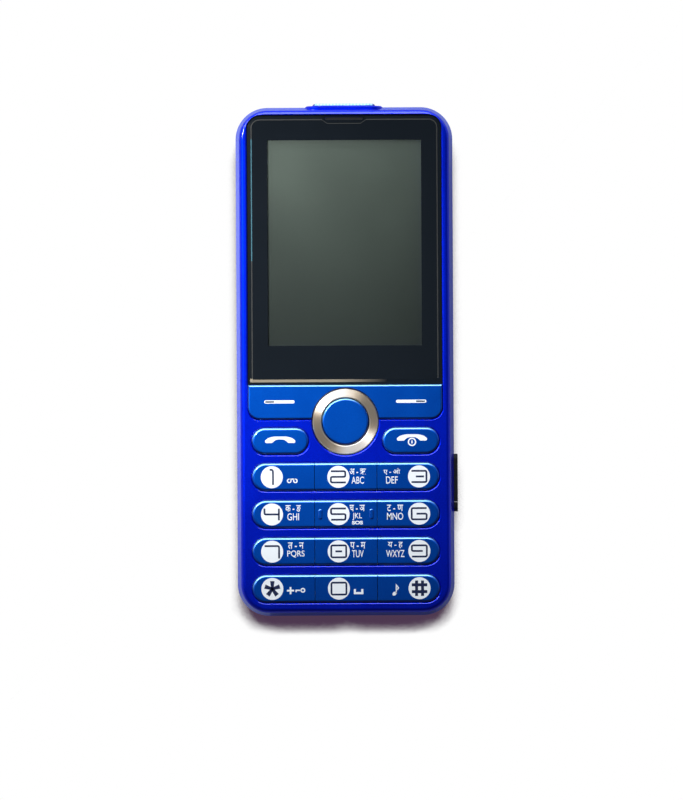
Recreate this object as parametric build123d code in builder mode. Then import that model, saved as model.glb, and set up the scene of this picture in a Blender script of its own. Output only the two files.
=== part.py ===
from build123d import *
import os

os.makedirs("parts", exist_ok=True)

# A keypad phone with a torch, lying on its back, in millimetres
# X runs across the phone, Y runs towards the torch end and Z runs up out of the screen
# The origin is the centre of the flat back

# Thicknesses from the back to the face, which add up to the phone's thickness
door_floor = 1.1
battery_fit = 0.2
battery_thickness = 5.2
seat_gap = 0.1
bay_floor = 0.7
board_thickness = 1.0
tray_height = 2.5
gasket_thickness = 0.4
lens_ledge = 1.0
adhesive_thickness = 0.15
lens_thickness = 1.05
lens_recess = 0.3

# Levels that follow from them
battery_bottom = door_floor + battery_fit
battery_top = battery_bottom + battery_thickness
bay_ceiling = battery_top + seat_gap
bay_back = bay_ceiling + bay_floor
board_bottom = bay_back + seat_gap
board_top = board_bottom + board_thickness
tray_top = board_top + tray_height
ledge_bottom = tray_top + gasket_thickness
ledge_top = ledge_bottom + lens_ledge
lens_bottom = ledge_top + adhesive_thickness
lens_top = lens_bottom + lens_thickness
face_height = lens_top + lens_recess

# Outline of the body, widest at the line where the two shells meet
body_width = 51.8
body_length = 121.4
corner_radius = 7.6
split_rise = 0.9
front_draft = 10.5
back_draft = 3.0
front_edge_radius = 1.1
back_edge_radius = 2.4
shell_wall = 1.4
face_plate = 1.6
cut_overrun = 2.0
split_height = board_bottom + split_rise
plate_underside = face_height - face_plate
half_width = body_width / 2
half_length = body_length / 2
inner_width = body_width - 2 * shell_wall
inner_length = body_length - 2 * shell_wall
inner_corner = corner_radius - shell_wall

# Keypad rows, counted up from the bottom end
row_count = 4
key_columns = 3
row_margin = 3.58
last_row_rise = 6.6
key_height = 6.6
row_gap = 2.27
key_gap = 0.13
key_stand = 0.45
key_travel = 0.3
key_edge = 0.6
key_lip = 0.5
key_lip_height = 0.6
key_underhang = 1.0
row_width = body_width - 2 * row_margin
key_width = row_width / key_columns
row_pitch = key_height + row_gap
row_ys = [last_row_rise - half_length + i * row_pitch for i in range(row_count)]
column_xs = [(i - 1) * key_width for i in range(key_columns)]
key_top = face_height + key_stand
key_bottom = plate_underside - key_underhang
lip_top = plate_underside - seat_gap
lip_bottom = lip_top - key_lip_height

# Call and end keys, navigation ring and soft-key bar, above the rows
call_gap = 2.09
call_height = 6.3
call_ring_gap = 1.0
nav_radius = 7.8
nav_bore = 5.75
nav_rise = 4.6
nav_stand = 0.55
nav_band_drop = 0.22
nav_edge = 0.2
ring_gap = 0.22
ok_gap = 0.2
ok_edge = 0.5
bar_rise = 0.6
bar_height = 8.15
bar_gap = 0.15
bar_corner = 2.7
bar_edge = 0.45
bar_ring_edge = 0.12
opening_edge = 0.14
call_width = row_width / 2 - nav_radius - call_ring_gap
call_x = (row_width - call_width) / 2
call_y = row_ys[-1] + key_height / 2 + call_gap + call_height / 2
nav_y = call_y + nav_rise
bar_bottom = nav_y + bar_rise
bar_top = bar_bottom + bar_height

# Lens pocket and the display behind it
side_rim = 2.65
top_rim = 1.95
pocket_corner = 3.1
lens_gap = 0.08
lens_bevel = 1.2
lens_bevel_depth = 0.2
view_side = 4.9
view_head = 6.0
view_foot = 9.2
view_margin = 0.6
tray_side = 1.9
tray_head = 4.4
tray_foot = 0.75
tray_wall = 0.35
pocket_width = body_width - 2 * side_rim
pocket_top = half_length - top_rim
lens_foot = bar_top + bar_gap
lens_head = pocket_top - lens_gap
bar_width = pocket_width - 2 * key_gap
view_width = pocket_width - 2 * view_side
view_top = pocket_top - view_head
view_bottom = lens_foot + view_foot
view_y = (view_top + view_bottom) / 2
view_length = view_top - view_bottom
tray_width = pocket_width - 2 * tray_side
tray_head_y = pocket_top - tray_head
tray_foot_y = lens_foot + tray_foot
tray_y = (tray_head_y + tray_foot_y) / 2
tray_length = tray_head_y - tray_foot_y

# Battery bay, card holders and the sliding door over them
door_lip_height = 2.5
door_lip = 1.3
door_gap = 0.15
head_room = 32.7
card_room = 20.0
foot_room = 14.7
side_room = 8.65
bay_wall = 0.8
back_wall = 1.3
chassis_floor = 0.9
chassis_wall = 1.2
seam_y = half_length - head_room
battery_width = body_width - 2 * side_room
battery_foot = foot_room - half_length
battery_head = seam_y - card_room
chassis_width = body_width - 2 * (door_lip + door_gap)
chassis_length = body_length - 2 * (door_lip + door_gap)
chassis_corner = corner_radius - door_lip - door_gap
chassis_bottom = door_floor + door_gap
chassis_floor_top = chassis_bottom + chassis_floor

# Screw bosses beside the board
boss_radius = 1.6
boss_foot_radius = 1.3
boss_sink = 0.2
screw_radius = 0.6
screw_head_radius = 1.0
screw_head_height = 0.8
screw_seat = 4.2
screw_fit = 0.05
thread_bite = 1.5
upper_boss_drop = 4.0
lower_boss_drop = 0.85
boss_x = half_width - shell_wall - boss_radius + boss_sink
corner_reach = (inner_corner - boss_radius + boss_sink) / 2**0.5
corner_boss_x = half_width - corner_radius + corner_reach
corner_boss_y = half_length - corner_radius + corner_reach
boss_places = [
    (side * x, y)
    for side in (-1, 1)
    for x, y in (
        (boss_x, seam_y - upper_boss_drop),
        (boss_x, bar_bottom - lower_boss_drop),
        (corner_boss_x, -corner_boss_y),
    )
]
screw_top = split_height + thread_bite

# Silicone keypad web under the keys, standing on a skirt
web_thickness = 0.6
web_side = 5.3
web_foot = 3.3
web_skirt = 0.6
web_corner = 2.0
plunger_radius = 1.1
dome_radius = 2.0
dome_crown_radius = 1.0
dome_height = 0.25
film_thickness = 0.1
film_inset = 2.7
plunger_gap = 0.1
web_top = key_bottom - key_travel - seat_gap
web_bottom = web_top - web_thickness
web_width = body_width - 2 * web_side
web_foot_y = web_foot - half_length
web_head_y = lens_foot - seat_gap
web_y = (web_foot_y + web_head_y) / 2
web_length = web_head_y - web_foot_y
dome_top = board_top + film_thickness + dome_height
nav_dome_reach = nav_bore + ok_gap
dome_places = [(x, y) for y in row_ys for x in column_xs]
dome_places += [(side * call_x, call_y) for side in (-1, 1)]
dome_places += [(side * call_x, (bar_bottom + bar_top) / 2) for side in (-1, 1)]
dome_places += [(0, nav_y)]
dome_places += [(side * nav_dome_reach, nav_y) for side in (-1, 1)]
dome_places += [(0, nav_y + side * nav_dome_reach) for side in (-1, 1)]


# Shapes that several pieces share


def block(x_span, y_span, z_span, mode=Mode.ADD):
    """Box that fills three (low, high) spans."""
    spans = (x_span, y_span, z_span)
    centre = tuple((low + high) / 2 for low, high in spans)
    size = [high - low for low, high in spans]
    with Locations(centre):
        Box(*size, mode=mode)


def post(x, y, radius, z_span, mode=Mode.ADD):
    """Upright cylinder between two levels."""
    low, high = z_span
    with Locations((x, y, (low + high) / 2)):
        Cylinder(radius, high - low, mode=mode)


def along_y(x, z, radius, y_span, mode=Mode.ADD):
    """Cylinder that lies along the phone."""
    low, high = y_span
    with Locations((x, (low + high) / 2, z)):
        Cylinder(radius, high - low, rotation=(90, 0, 0), mode=mode)


def along_x(y, z, radius, x_span, mode=Mode.ADD):
    """Cylinder that lies across the phone."""
    low, high = x_span
    with Locations(((low + high) / 2, y, z)):
        Cylinder(radius, high - low, rotation=(0, 90, 0), mode=mode)


def around(centre, half):
    """Span of a given half size about a centre."""
    return (centre - half, centre + half)


def rear_form():
    """Everything behind the parting line, as one solid with rounded back edges."""
    with BuildPart() as form:
        with BuildSketch(Plane.XY.offset(split_height)):
            RectangleRounded(body_width, body_length, corner_radius)
        extrude(amount=-split_height, taper=back_draft)
        fillet(form.edges().group_by(Axis.Z)[0], back_edge_radius)
    return form.part


def bar_outline(grow):
    """Soft-key bar seen from above, grown all round, before the ring cuts it."""
    with Locations((0, (bar_bottom + bar_top) / 2)):
        bar = Rectangle(bar_width + 2 * grow, bar_height + 2 * grow)
    fillet(bar.vertices().group_by(Axis.Y)[0], bar_corner + grow)


# Torch pod on the top end, half on each shell, with a clear lens in its middle
pod_width = 18.6
pod_height = 7.8
pod_corner = 2.8
pod_proud = 0.3
pod_slope = 50
torch_width = 15.0
torch_height = 5.2
torch_corner = 2.5
torch_proud = 0.9
torch_edge = 0.55
torch_gap = 0.1
torch_flange = 0.7
torch_lip = 0.4
torch_flange_depth = 0.8
torch_drop = 0.4
torch_z = board_bottom - torch_drop
pod_root = half_length - shell_wall / 2
torch_seat = half_length - shell_wall
torch_plane = Plane.XZ.offset(cut_overrun - torch_seat)
torch_inner = torch_seat - seat_gap - torch_flange_depth
torch_bore = -(shell_wall + pod_proud + 2 * cut_overrun)


def torch_pod():
    """Sloping collar round the torch lens, rooted inside the end wall."""
    with BuildPart() as pod:
        with BuildSketch(Plane.XZ.offset(-half_length)):
            with Locations((0, torch_z)):
                RectangleRounded(pod_width, pod_height, pod_corner)
        extrude(amount=-pod_proud, taper=pod_slope)
        with BuildSketch(Plane.XZ.offset(-pod_root)):
            with Locations((0, torch_z)):
                RectangleRounded(pod_width, pod_height, pod_corner)
        extrude(amount=pod_root - half_length)
    return pod.part


def torch_opening():
    """Outline of the way through the end wall for the torch lens."""
    with Locations((0, torch_z)):
        RectangleRounded(torch_width + 2 * torch_gap, torch_height + 2 * torch_gap, torch_corner)


# Front cover: face plate, rim, lens pocket, key openings and screw bosses
earpiece_width = 9.0
earpiece_height = 0.7
earpiece_drop = 0.85
earpiece_port = 0.4
bevel_angle = 62
earpiece_y = pocket_top - earpiece_drop


def lens_opening():
    """Pocket for the lens, rounded at the head and open to the bar at the foot."""
    with Locations((0, (pocket_top + bar_top) / 2)):
        pocket = Rectangle(pocket_width, pocket_top - bar_top)
    fillet(pocket.vertices().group_by(Axis.Y)[-1], pocket_corner)


def bar_opening():
    """Opening for the soft-key bar."""
    bar_outline(key_gap)


def ring_opening():
    """Opening for the navigation ring."""
    with Locations((0, nav_y)):
        Circle(nav_radius + ring_gap)


def call_openings():
    """Openings for the call and end keys."""
    with Locations((-call_x, call_y), (call_x, call_y)):
        SlotOverall(call_width + 2 * key_gap, call_height + 2 * key_gap)


def row_openings():
    """One opening for each row of three keys."""
    with Locations([(0, y) for y in row_ys]):
        SlotOverall(row_width + 2 * key_gap, key_height + 2 * key_gap)


face_openings = (
    (lens_opening, ledge_top),
    (bar_opening, ledge_bottom),
    (ring_opening, ledge_bottom),
    (call_openings, ledge_bottom),
    (row_openings, ledge_bottom),
)

with BuildPart() as front_cover:
    with BuildSketch(Plane.XY.offset(split_height)):
        RectangleRounded(body_width, body_length, corner_radius)
    extrude(amount=face_height - split_height, taper=front_draft)
    fillet(front_cover.edges().group_by(Axis.Z)[-1], front_edge_radius)
    add(torch_pod())
    block((-half_width, half_width), (0, body_length), (-cut_overrun, split_height), mode=Mode.SUBTRACT)
    with BuildSketch(Plane.XY.offset(split_height)):
        RectangleRounded(inner_width, inner_length, inner_corner)
    extrude(amount=ledge_bottom - split_height, mode=Mode.SUBTRACT)
    with BuildSketch(Plane.XY.offset(ledge_bottom)):
        RectangleRounded(inner_width, inner_length, inner_corner)
        with Locations((0, lens_foot - inner_length / 2)):
            Rectangle(inner_width, inner_length, mode=Mode.INTERSECT)
    extrude(amount=plate_underside - ledge_bottom, mode=Mode.SUBTRACT)
    # Window behind the lens, and the way from the earpiece
    block(
        around(0, view_width / 2 + view_margin),
        around(view_y, view_length / 2 + view_margin),
        (ledge_bottom - cut_overrun, ledge_top + cut_overrun),
        mode=Mode.SUBTRACT,
    )
    block(
        around(0, earpiece_width / 2 - earpiece_port),
        around(earpiece_y, earpiece_port / 2),
        (ledge_bottom - cut_overrun, ledge_top + cut_overrun),
        mode=Mode.SUBTRACT,
    )
    # Openings in the face, each with a bevelled rim
    for draw_opening, floor in face_openings:
        with BuildSketch(Plane.XY.offset(floor)):
            draw_opening()
        extrude(amount=face_height - floor + cut_overrun, mode=Mode.SUBTRACT)
        with BuildSketch(Plane.XY.offset(face_height - opening_edge)):
            draw_opening()
        extrude(amount=2 * opening_edge, taper=-bevel_angle, mode=Mode.SUBTRACT)
    with BuildSketch(torch_plane):
        torch_opening()
    extrude(amount=torch_bore, mode=Mode.SUBTRACT)
    for x, y in boss_places:
        post(x, y, boss_radius, (split_height, web_bottom))
        post(x, y, screw_radius + screw_fit, (split_height - cut_overrun, screw_top + seat_gap), Mode.SUBTRACT)
front_cover.part.label = "front_cover"
export_step(front_cover.part, "parts/front_cover.step")

# Ports on the rear housing: charging socket on the right, headset socket at the foot
usb_width = 7.6
usb_height = 2.7
usb_depth = 5.6
usb_shell = 0.3
usb_mouth = 0.4
usb_wall_gap = 0.2
usb_rise = 31.6
usb_tongue_width = 5.0
usb_tongue_height = 0.5
jack_radius = 1.8
jack_collar = 0.25
jack_width = 6.6
jack_length = 10.5
jack_sink = 0.25
jack_floor = 0.75
mic_radius = 1.8
mic_height = 1.5
mic_port = 0.5
mic_side = 9.4
mic_rise = 4.6
usb_y = usb_rise - half_length
usb_z = board_bottom - usb_height / 2
usb_face = half_width - shell_wall - usb_wall_gap
jack_bottom = chassis_floor_top + jack_floor
jack_z = (jack_bottom + board_bottom) / 2
jack_collar_radius = jack_radius + jack_collar
mic_x = mic_side - half_width
mic_y = mic_rise - half_length
mic_z = board_bottom - mic_height / 2

# Rubber flap over the charging socket, in a recess of the side wall
flap_length = 13.8
flap_height = 3.8
flap_corner = 1.2
flap_proud = 0.9
flap_sink = 0.8
flap_gap = 0.15
flap_anchor_length = 2.2
flap_seam = 0.15
flap_plug_width = 6.6
flap_plug_height = 1.8
flap_plug_depth = 0.6
anchor_peg_radius = 0.6
flap_recess_x = half_width - flap_sink
flap_foot = usb_y - flap_length / 2
flap_hinge_y = flap_foot + flap_anchor_length
flap_face_x = half_width + flap_proud
anchor_y = flap_foot + flap_anchor_length / 2

# Sound, camera and vibration parts in the head of the rear housing
speaker_radius = 9.0
speaker_height = 3.9
speaker_side = 16.4
speaker_fall = 16.7
speaker_mesh_thickness = 0.15
speaker_mesh_radius = 7.6
slot_count = 7
slot_pitch = 1.9
slot_width = 0.9
slot_ring = 6.6
camera_side = 12.9
camera_fall = 11.7
camera_size = 7.6
camera_barrel = 2.4
camera_base = 3.0
camera_window_radius = 3.9
camera_window_thickness = 0.8
camera_window_recess = 0.25
camera_bore = 2.6
camera_gap = 0.1
motor_radius = 2.0
motor_length = 7.2
motor_side = 17.9
motor_fall = 24.2
motor_shaft_radius = 0.35
motor_shaft_gap = 0.05
motor_bore_depth = 1.2
weight_radius = 1.8
weight_length = 2.8
weight_gap = 0.4
speaker_x = speaker_side - half_width
speaker_y = half_length - speaker_fall
camera_x = half_width - camera_side
camera_y = half_length - camera_fall
motor_x = half_width - motor_side
motor_y = half_length - motor_fall
motor_z = back_wall + seat_gap + motor_radius
motor_end = motor_x + motor_length
weight_start = motor_end + weight_gap

# Card holders under the board
card_count = 3
card_side = 4.7
card_holder_length = 15.0
card_holder_height = 1.35
card_gap = 0.6
card_lip = 0.7
card_slot_height = 0.85
card_shell = 0.2
card_bay_gap = 0.5
contact_wall = 1.0
card_bay_half = half_width - card_side
card_holder_pitch = (2 * (card_bay_half - card_bay_gap) + card_gap) / card_count
card_holder_width = card_holder_pitch - card_gap
card_slot_width = card_holder_width - 2 * card_lip
card_bay_foot = battery_head + battery_fit + contact_wall
card_bay_head = seam_y - upper_boss_drop + boss_radius + bay_wall
card_y = (card_bay_foot + card_bay_head) / 2

# Door rails and the slots for the battery's contacts
rail_depth = 0.3
rail_height = 0.5
rail_level = 1.9
rail_fit = 0.1
rail_foot_rise = 15.7
rail_head_drop = 6.0
contact_count = 3
contact_pitch = 4.5
contact_width = 1.6
contact_gap = 0.2
contact_low = 3.0
contact_nose = 1.5
rail_foot = rail_foot_rise - half_length
rail_head = seam_y - rail_head_drop
contact_xs = [(i - (contact_count - 1) / 2) * contact_pitch for i in range(contact_count)]

with BuildPart() as rear_housing:
    add(rear_form())
    add(torch_pod())
    block((-half_width, half_width), (0, body_length), (split_height, face_height), mode=Mode.SUBTRACT)
    # The lower back is open for the door, around a narrower chassis
    block(
        (-body_width, body_width),
        (-body_length, seam_y + door_gap),
        (-cut_overrun, door_lip_height + door_gap),
        mode=Mode.SUBTRACT,
    )
    with BuildSketch(Plane.XY.offset(chassis_bottom)):
        RectangleRounded(chassis_width, chassis_length, chassis_corner)
        with Locations((0, seam_y + door_gap - half_length)):
            Rectangle(body_width, body_length, mode=Mode.INTERSECT)
    extrude(amount=door_lip_height + door_gap - chassis_bottom + bay_wall)
    # Hollow in three steps: chassis, main space and head
    lower_width = chassis_width - 2 * chassis_wall
    lower_length = chassis_length - 2 * chassis_wall
    with BuildSketch(Plane.XY.offset(chassis_floor_top)):
        RectangleRounded(lower_width, lower_length, chassis_corner - chassis_wall)
    extrude(amount=split_height, mode=Mode.SUBTRACT)
    with BuildSketch(Plane.XY.offset(door_lip_height + door_gap + bay_wall)):
        RectangleRounded(inner_width, inner_length, inner_corner)
    extrude(amount=split_height, mode=Mode.SUBTRACT)
    with BuildSketch(Plane.XY.offset(back_wall)):
        RectangleRounded(inner_width, inner_length, inner_corner)
        with Locations((0, seam_y + door_gap + chassis_wall + half_length)):
            Rectangle(body_width, body_length, mode=Mode.INTERSECT)
    extrude(amount=split_height, mode=Mode.SUBTRACT)
    # Battery bay, open to the door, and the card bay above it
    block(
        around(0, battery_width / 2 + battery_fit + bay_wall),
        (battery_foot - battery_fit - bay_wall, card_bay_foot),
        (chassis_bottom, bay_back),
    )
    block(
        around(0, card_bay_half + bay_wall),
        (card_bay_foot - bay_wall, card_bay_head + bay_wall),
        (chassis_bottom, bay_back),
    )
    block(
        around(0, battery_width / 2 + battery_fit),
        (battery_foot - battery_fit, battery_head + battery_fit),
        (-cut_overrun, bay_ceiling),
        mode=Mode.SUBTRACT,
    )
    block(
        around(0, card_bay_half),
        (card_bay_foot, card_bay_head),
        (-cut_overrun, bay_back + cut_overrun),
        mode=Mode.SUBTRACT,
    )
    for x in contact_xs:
        block(
            around(x, contact_width / 2 + contact_gap),
            (battery_head, card_bay_foot + cut_overrun),
            (contact_low - contact_gap, contact_low + contact_nose + contact_gap),
            mode=Mode.SUBTRACT,
        )
    # Screw bosses and rails
    for x, y in boss_places:
        post(x, y, boss_foot_radius, (chassis_bottom, screw_seat))
        post(x, y, boss_radius, (door_lip_height + door_gap, split_height - seat_gap))
        post(x, y, screw_radius + seat_gap, (-cut_overrun, split_height), Mode.SUBTRACT)
        post(x, y, screw_head_radius + seat_gap, (-cut_overrun, screw_seat), Mode.SUBTRACT)
    for side in (-1, 1):
        rail_span = around(side * (chassis_width / 2), door_gap + rail_depth)
        block(rail_span, (rail_foot, rail_head), (rail_level, rail_level + rail_height))
    # Sockets, microphone port and torch
    block(
        (usb_face - usb_wall_gap, half_width + cut_overrun),
        around(usb_y, usb_width / 2 + usb_wall_gap),
        around(usb_z, usb_height / 2 + usb_wall_gap),
        mode=Mode.SUBTRACT,
    )
    block(
        (flap_recess_x, half_width + cut_overrun),
        (flap_foot - flap_gap, flap_foot + flap_length + flap_gap),
        around(usb_z, flap_height / 2 + flap_gap),
        mode=Mode.SUBTRACT,
    )
    peg_hole = (inner_width / 2 - cut_overrun, half_width)
    along_x(anchor_y, usb_z, anchor_peg_radius + flap_gap, peg_hole, Mode.SUBTRACT)
    jack_hole = (-half_length - cut_overrun, chassis_wall - chassis_length / 2)
    along_y(0, jack_z, jack_collar_radius + seat_gap, jack_hole, Mode.SUBTRACT)
    mic_hole = (-half_length - cut_overrun, -inner_length / 2)
    along_y(mic_x, mic_z, mic_port, mic_hole, Mode.SUBTRACT)
    with BuildSketch(torch_plane):
        torch_opening()
    extrude(amount=torch_bore, mode=Mode.SUBTRACT)
    # Speaker slots and the camera's stepped hole
    for i in range(slot_count):
        slot_offset = (i - (slot_count - 1) / 2) * slot_pitch
        slot_half = (slot_ring**2 - slot_offset**2) ** 0.5
        with BuildSketch(Plane.XY.offset(-cut_overrun)):
            with Locations((speaker_x, speaker_y + slot_offset)):
                SlotOverall(2 * slot_half, slot_width)
        extrude(amount=back_wall + 2 * cut_overrun, mode=Mode.SUBTRACT)
    post(camera_x, camera_y, camera_bore, (-cut_overrun, back_wall + cut_overrun), Mode.SUBTRACT)
    window_seat = camera_window_recess + camera_window_thickness
    post(camera_x, camera_y, camera_window_radius + camera_gap, (-cut_overrun, window_seat), Mode.SUBTRACT)
rear_housing.part.label = "rear_housing"
export_step(rear_housing.part, "parts/rear_housing.step")

# Battery door, which slides towards the foot, with grooves for a thumb
thumb_grooves = 5
thumb_pitch = 1.7
thumb_groove_width = 0.8
thumb_groove_depth = 0.3
thumb_groove_length = 15.0
thumb_drop = 14.0
with BuildPart() as battery_door:
    add(rear_form())
    across = (-body_width, body_width)
    block(across, (-body_length, body_length), (door_lip_height, face_height), mode=Mode.SUBTRACT)
    block(across, (seam_y, body_length), (-cut_overrun, face_height), mode=Mode.SUBTRACT)
    with BuildSketch(Plane.XY.offset(door_floor)):
        tray = (chassis_width + 2 * door_gap, chassis_length + 2 * door_gap)
        RectangleRounded(*tray, chassis_corner + door_gap)
    extrude(amount=face_height, mode=Mode.SUBTRACT)
    block(
        around(0, chassis_width / 2 + door_gap + rail_depth + rail_fit),
        (rail_foot - rail_fit, body_length),
        (rail_level - rail_fit, rail_level + rail_height + rail_fit),
        mode=Mode.SUBTRACT,
    )
    for i in range(thumb_grooves):
        groove_y = seam_y - thumb_drop - i * thumb_pitch
        with BuildSketch(Plane.XY.offset(-cut_overrun)):
            with Locations((0, groove_y)):
                SlotOverall(thumb_groove_length, thumb_groove_width)
        extrude(amount=cut_overrun + thumb_groove_depth, mode=Mode.SUBTRACT)
battery_door.part.label = "battery_door"
export_step(battery_door.part, "parts/battery_door.step")

# Battery pack with rounded long edges, and the sprung contacts at its head
battery_edge = 1.2
with BuildPart() as battery:
    block(around(0, battery_width / 2), (battery_foot, battery_head), (battery_bottom, battery_top))
    fillet(battery.edges().filter_by(Axis.Y), battery_edge)
battery.part.label = "battery"
export_step(battery.part, "parts/battery.step")

with BuildPart() as battery_contacts:
    for x in contact_xs:
        block(
            around(x, contact_width / 2),
            (battery_head + seat_gap, card_bay_foot + seat_gap),
            (contact_low, contact_low + contact_nose),
        )
        block(
            around(x, contact_width / 2),
            (card_bay_foot + seat_gap, card_bay_foot + seat_gap + contact_wall / 2),
            (contact_low, board_bottom),
        )
battery_contacts.part.label = "battery_contacts"
export_step(battery_contacts.part, "parts/battery_contacts.step")

# Pressed-steel holders for two telephone cards and a memory card
holder_names = ("sim_holder_1", "sim_holder_2", "memory_card_holder")
holder_bottom = board_bottom - card_holder_height
slot_bottom = holder_bottom + card_shell
for i, holder_name in enumerate(holder_names):
    holder_x = (i - 1) * card_holder_pitch
    with BuildPart() as card_holder:
        block(
            around(holder_x, card_holder_width / 2),
            around(card_y, card_holder_length / 2),
            (holder_bottom, board_bottom),
        )
        block(
            around(holder_x, card_slot_width / 2),
            (card_y - card_holder_length, card_y + card_holder_length / 2 - card_shell),
            (slot_bottom, slot_bottom + card_slot_height),
            mode=Mode.SUBTRACT,
        )
    card_holder.part.label = holder_name
    export_step(card_holder.part, f"parts/{holder_name}.step")

# Main board, cut clear of the screw bosses
board_side = 4.7
board_end = 2.4
board_corner = 3.0
boss_clearance = 0.25
with BuildPart() as main_board:
    with BuildSketch(Plane.XY.offset(board_bottom)):
        RectangleRounded(body_width - 2 * board_side, body_length - 2 * board_end, board_corner)
    extrude(amount=board_thickness)
    for x, y in boss_places:
        post(x, y, boss_radius + boss_clearance, (0, face_height), Mode.SUBTRACT)
main_board.part.label = "main_board"
export_step(main_board.part, "parts/main_board.step")

# Film of snap domes on the board, one under each plunger
with BuildPart() as dome_sheet:
    with BuildSketch(Plane.XY.offset(board_top)):
        with Locations((0, web_y)):
            RectangleRounded(web_width - 2 * film_inset, web_length - 2 * film_inset, web_corner)
    extrude(amount=film_thickness)
    with Locations([(x, y, dome_top - dome_height / 2) for x, y in dome_places]):
        Cone(dome_radius, dome_crown_radius, dome_height)
dome_sheet.part.label = "dome_sheet"
export_step(dome_sheet.part, "parts/dome_sheet.step")

# Silicone web: a plate on a skirt, with a plunger over each dome
with BuildPart() as keypad_web:
    with BuildSketch(Plane.XY.offset(board_top)):
        with Locations((0, web_y)):
            RectangleRounded(web_width, web_length, web_corner)
            skirt_size = (web_width - 2 * web_skirt, web_length - 2 * web_skirt)
            RectangleRounded(*skirt_size, web_corner - web_skirt, mode=Mode.SUBTRACT)
    extrude(amount=web_bottom - board_top)
    with BuildSketch(Plane.XY.offset(web_bottom)):
        with Locations((0, web_y)):
            RectangleRounded(web_width, web_length, web_corner)
    extrude(amount=web_thickness)
    for x, y in dome_places:
        post(x, y, plunger_radius, (dome_top + plunger_gap, web_bottom))
    for x, y in boss_places:
        post(x, y, boss_radius + boss_clearance, (0, face_height), Mode.SUBTRACT)
keypad_web.part.label = "keypad_web"
export_step(keypad_web.part, "parts/keypad_web.step")

# Side-firing lamps that light the keys
lamp_width = 0.8
lamp_length = 1.6
lamp_height = 0.6
lamp_inset = 1.4
lamp_x = web_width / 2 - lamp_inset
lamp_ys = [y + row_pitch / 2 for y in row_ys[:-1]]
with BuildPart() as keypad_lamps:
    for side in (-1, 1):
        for y in lamp_ys:
            lamp_rise = (board_top, board_top + lamp_height)
            block(around(side * lamp_x, lamp_width / 2), around(y, lamp_length / 2), lamp_rise)
keypad_lamps.part.label = "keypad_lamps"
export_step(keypad_lamps.part, "parts/keypad_lamps.step")

# Display: steel tray, glass panel, foam gasket, adhesive and lens
with BuildPart() as lcd_tray:
    block(around(0, tray_width / 2), around(tray_y, tray_length / 2), (board_top, tray_top))
    block(
        around(0, tray_width / 2 - tray_wall),
        around(tray_y, tray_length / 2 - tray_wall),
        (board_top + tray_wall, tray_top + cut_overrun),
        mode=Mode.SUBTRACT,
    )
lcd_tray.part.label = "lcd_tray"
export_step(lcd_tray.part, "parts/lcd_tray.step")

panel_fit = 0.1
with BuildPart() as lcd_panel:
    block(
        around(0, tray_width / 2 - tray_wall - panel_fit),
        around(tray_y, tray_length / 2 - tray_wall - panel_fit),
        (board_top + tray_wall, tray_top),
    )
lcd_panel.part.label = "lcd_panel"
export_step(lcd_panel.part, "parts/lcd_panel.step")

with BuildPart() as lcd_gasket:
    block(around(0, tray_width / 2), around(tray_y, tray_length / 2), (tray_top, ledge_bottom))
    block(
        around(0, view_width / 2 + view_margin),
        around(view_y, view_length / 2 + view_margin),
        (tray_top - cut_overrun, ledge_bottom + cut_overrun),
        mode=Mode.SUBTRACT,
    )
lcd_gasket.part.label = "lcd_gasket"
export_step(lcd_gasket.part, "parts/lcd_gasket.step")


def lens_outline(inset):
    """Lens seen from above, drawn in from its edge by the inset."""
    with Locations((0, (lens_head + lens_foot) / 2)):
        outline = Rectangle(pocket_width - 2 * lens_gap - 2 * inset, lens_head - lens_foot - 2 * inset)
    fillet(outline.vertices().group_by(Axis.Y)[-1], pocket_corner - lens_gap - inset)


adhesive_inset = 0.4
with BuildPart() as lens_adhesive:
    with BuildSketch(Plane.XY.offset(ledge_top)):
        lens_outline(adhesive_inset)
        with Locations((0, view_y)):
            Rectangle(view_width + 2 * view_margin, view_length + 2 * view_margin, mode=Mode.SUBTRACT)
        with Locations((0, earpiece_y)):
            Rectangle(earpiece_width + 2 * adhesive_inset, 2 * earpiece_drop, mode=Mode.SUBTRACT)
    extrude(amount=adhesive_thickness)
lens_adhesive.part.label = "lens_adhesive"
export_step(lens_adhesive.part, "parts/lens_adhesive.step")

# The lens has a sloping edge, which dips round the earpiece slot
dip_width = 10.4
dip_floor_width = 7.9
dip_depth = 2.05
with BuildPart() as display_lens:
    with BuildSketch(Plane.XY.offset(lens_bottom)):
        lens_outline(0)
    extrude(amount=lens_thickness)
    lens_face = display_lens.faces().sort_by(Axis.Z)[-1]
    chamfer(lens_face.edges(), lens_bevel, lens_bevel_depth, reference=lens_face)
    with BuildSketch(Plane.XY.offset(lens_top - lens_bevel_depth)):
        with BuildLine():
            Polyline(
                (-dip_width / 2, pocket_top - lens_bevel),
                (-dip_floor_width / 2, pocket_top - dip_depth),
                (dip_floor_width / 2, pocket_top - dip_depth),
                (dip_width / 2, pocket_top - lens_bevel),
                (dip_width / 2, pocket_top + lens_bevel),
                (-dip_width / 2, pocket_top + lens_bevel),
                close=True,
            )
        make_face()
    extrude(amount=cut_overrun, mode=Mode.SUBTRACT)
    with BuildSketch(Plane.XY.offset(lens_bottom - cut_overrun)):
        with Locations((0, earpiece_y)):
            SlotOverall(earpiece_width, earpiece_height)
    extrude(amount=lens_thickness + 2 * cut_overrun, mode=Mode.SUBTRACT)
display_lens.part.label = "display_lens"
export_step(display_lens.part, "parts/display_lens.step")

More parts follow.
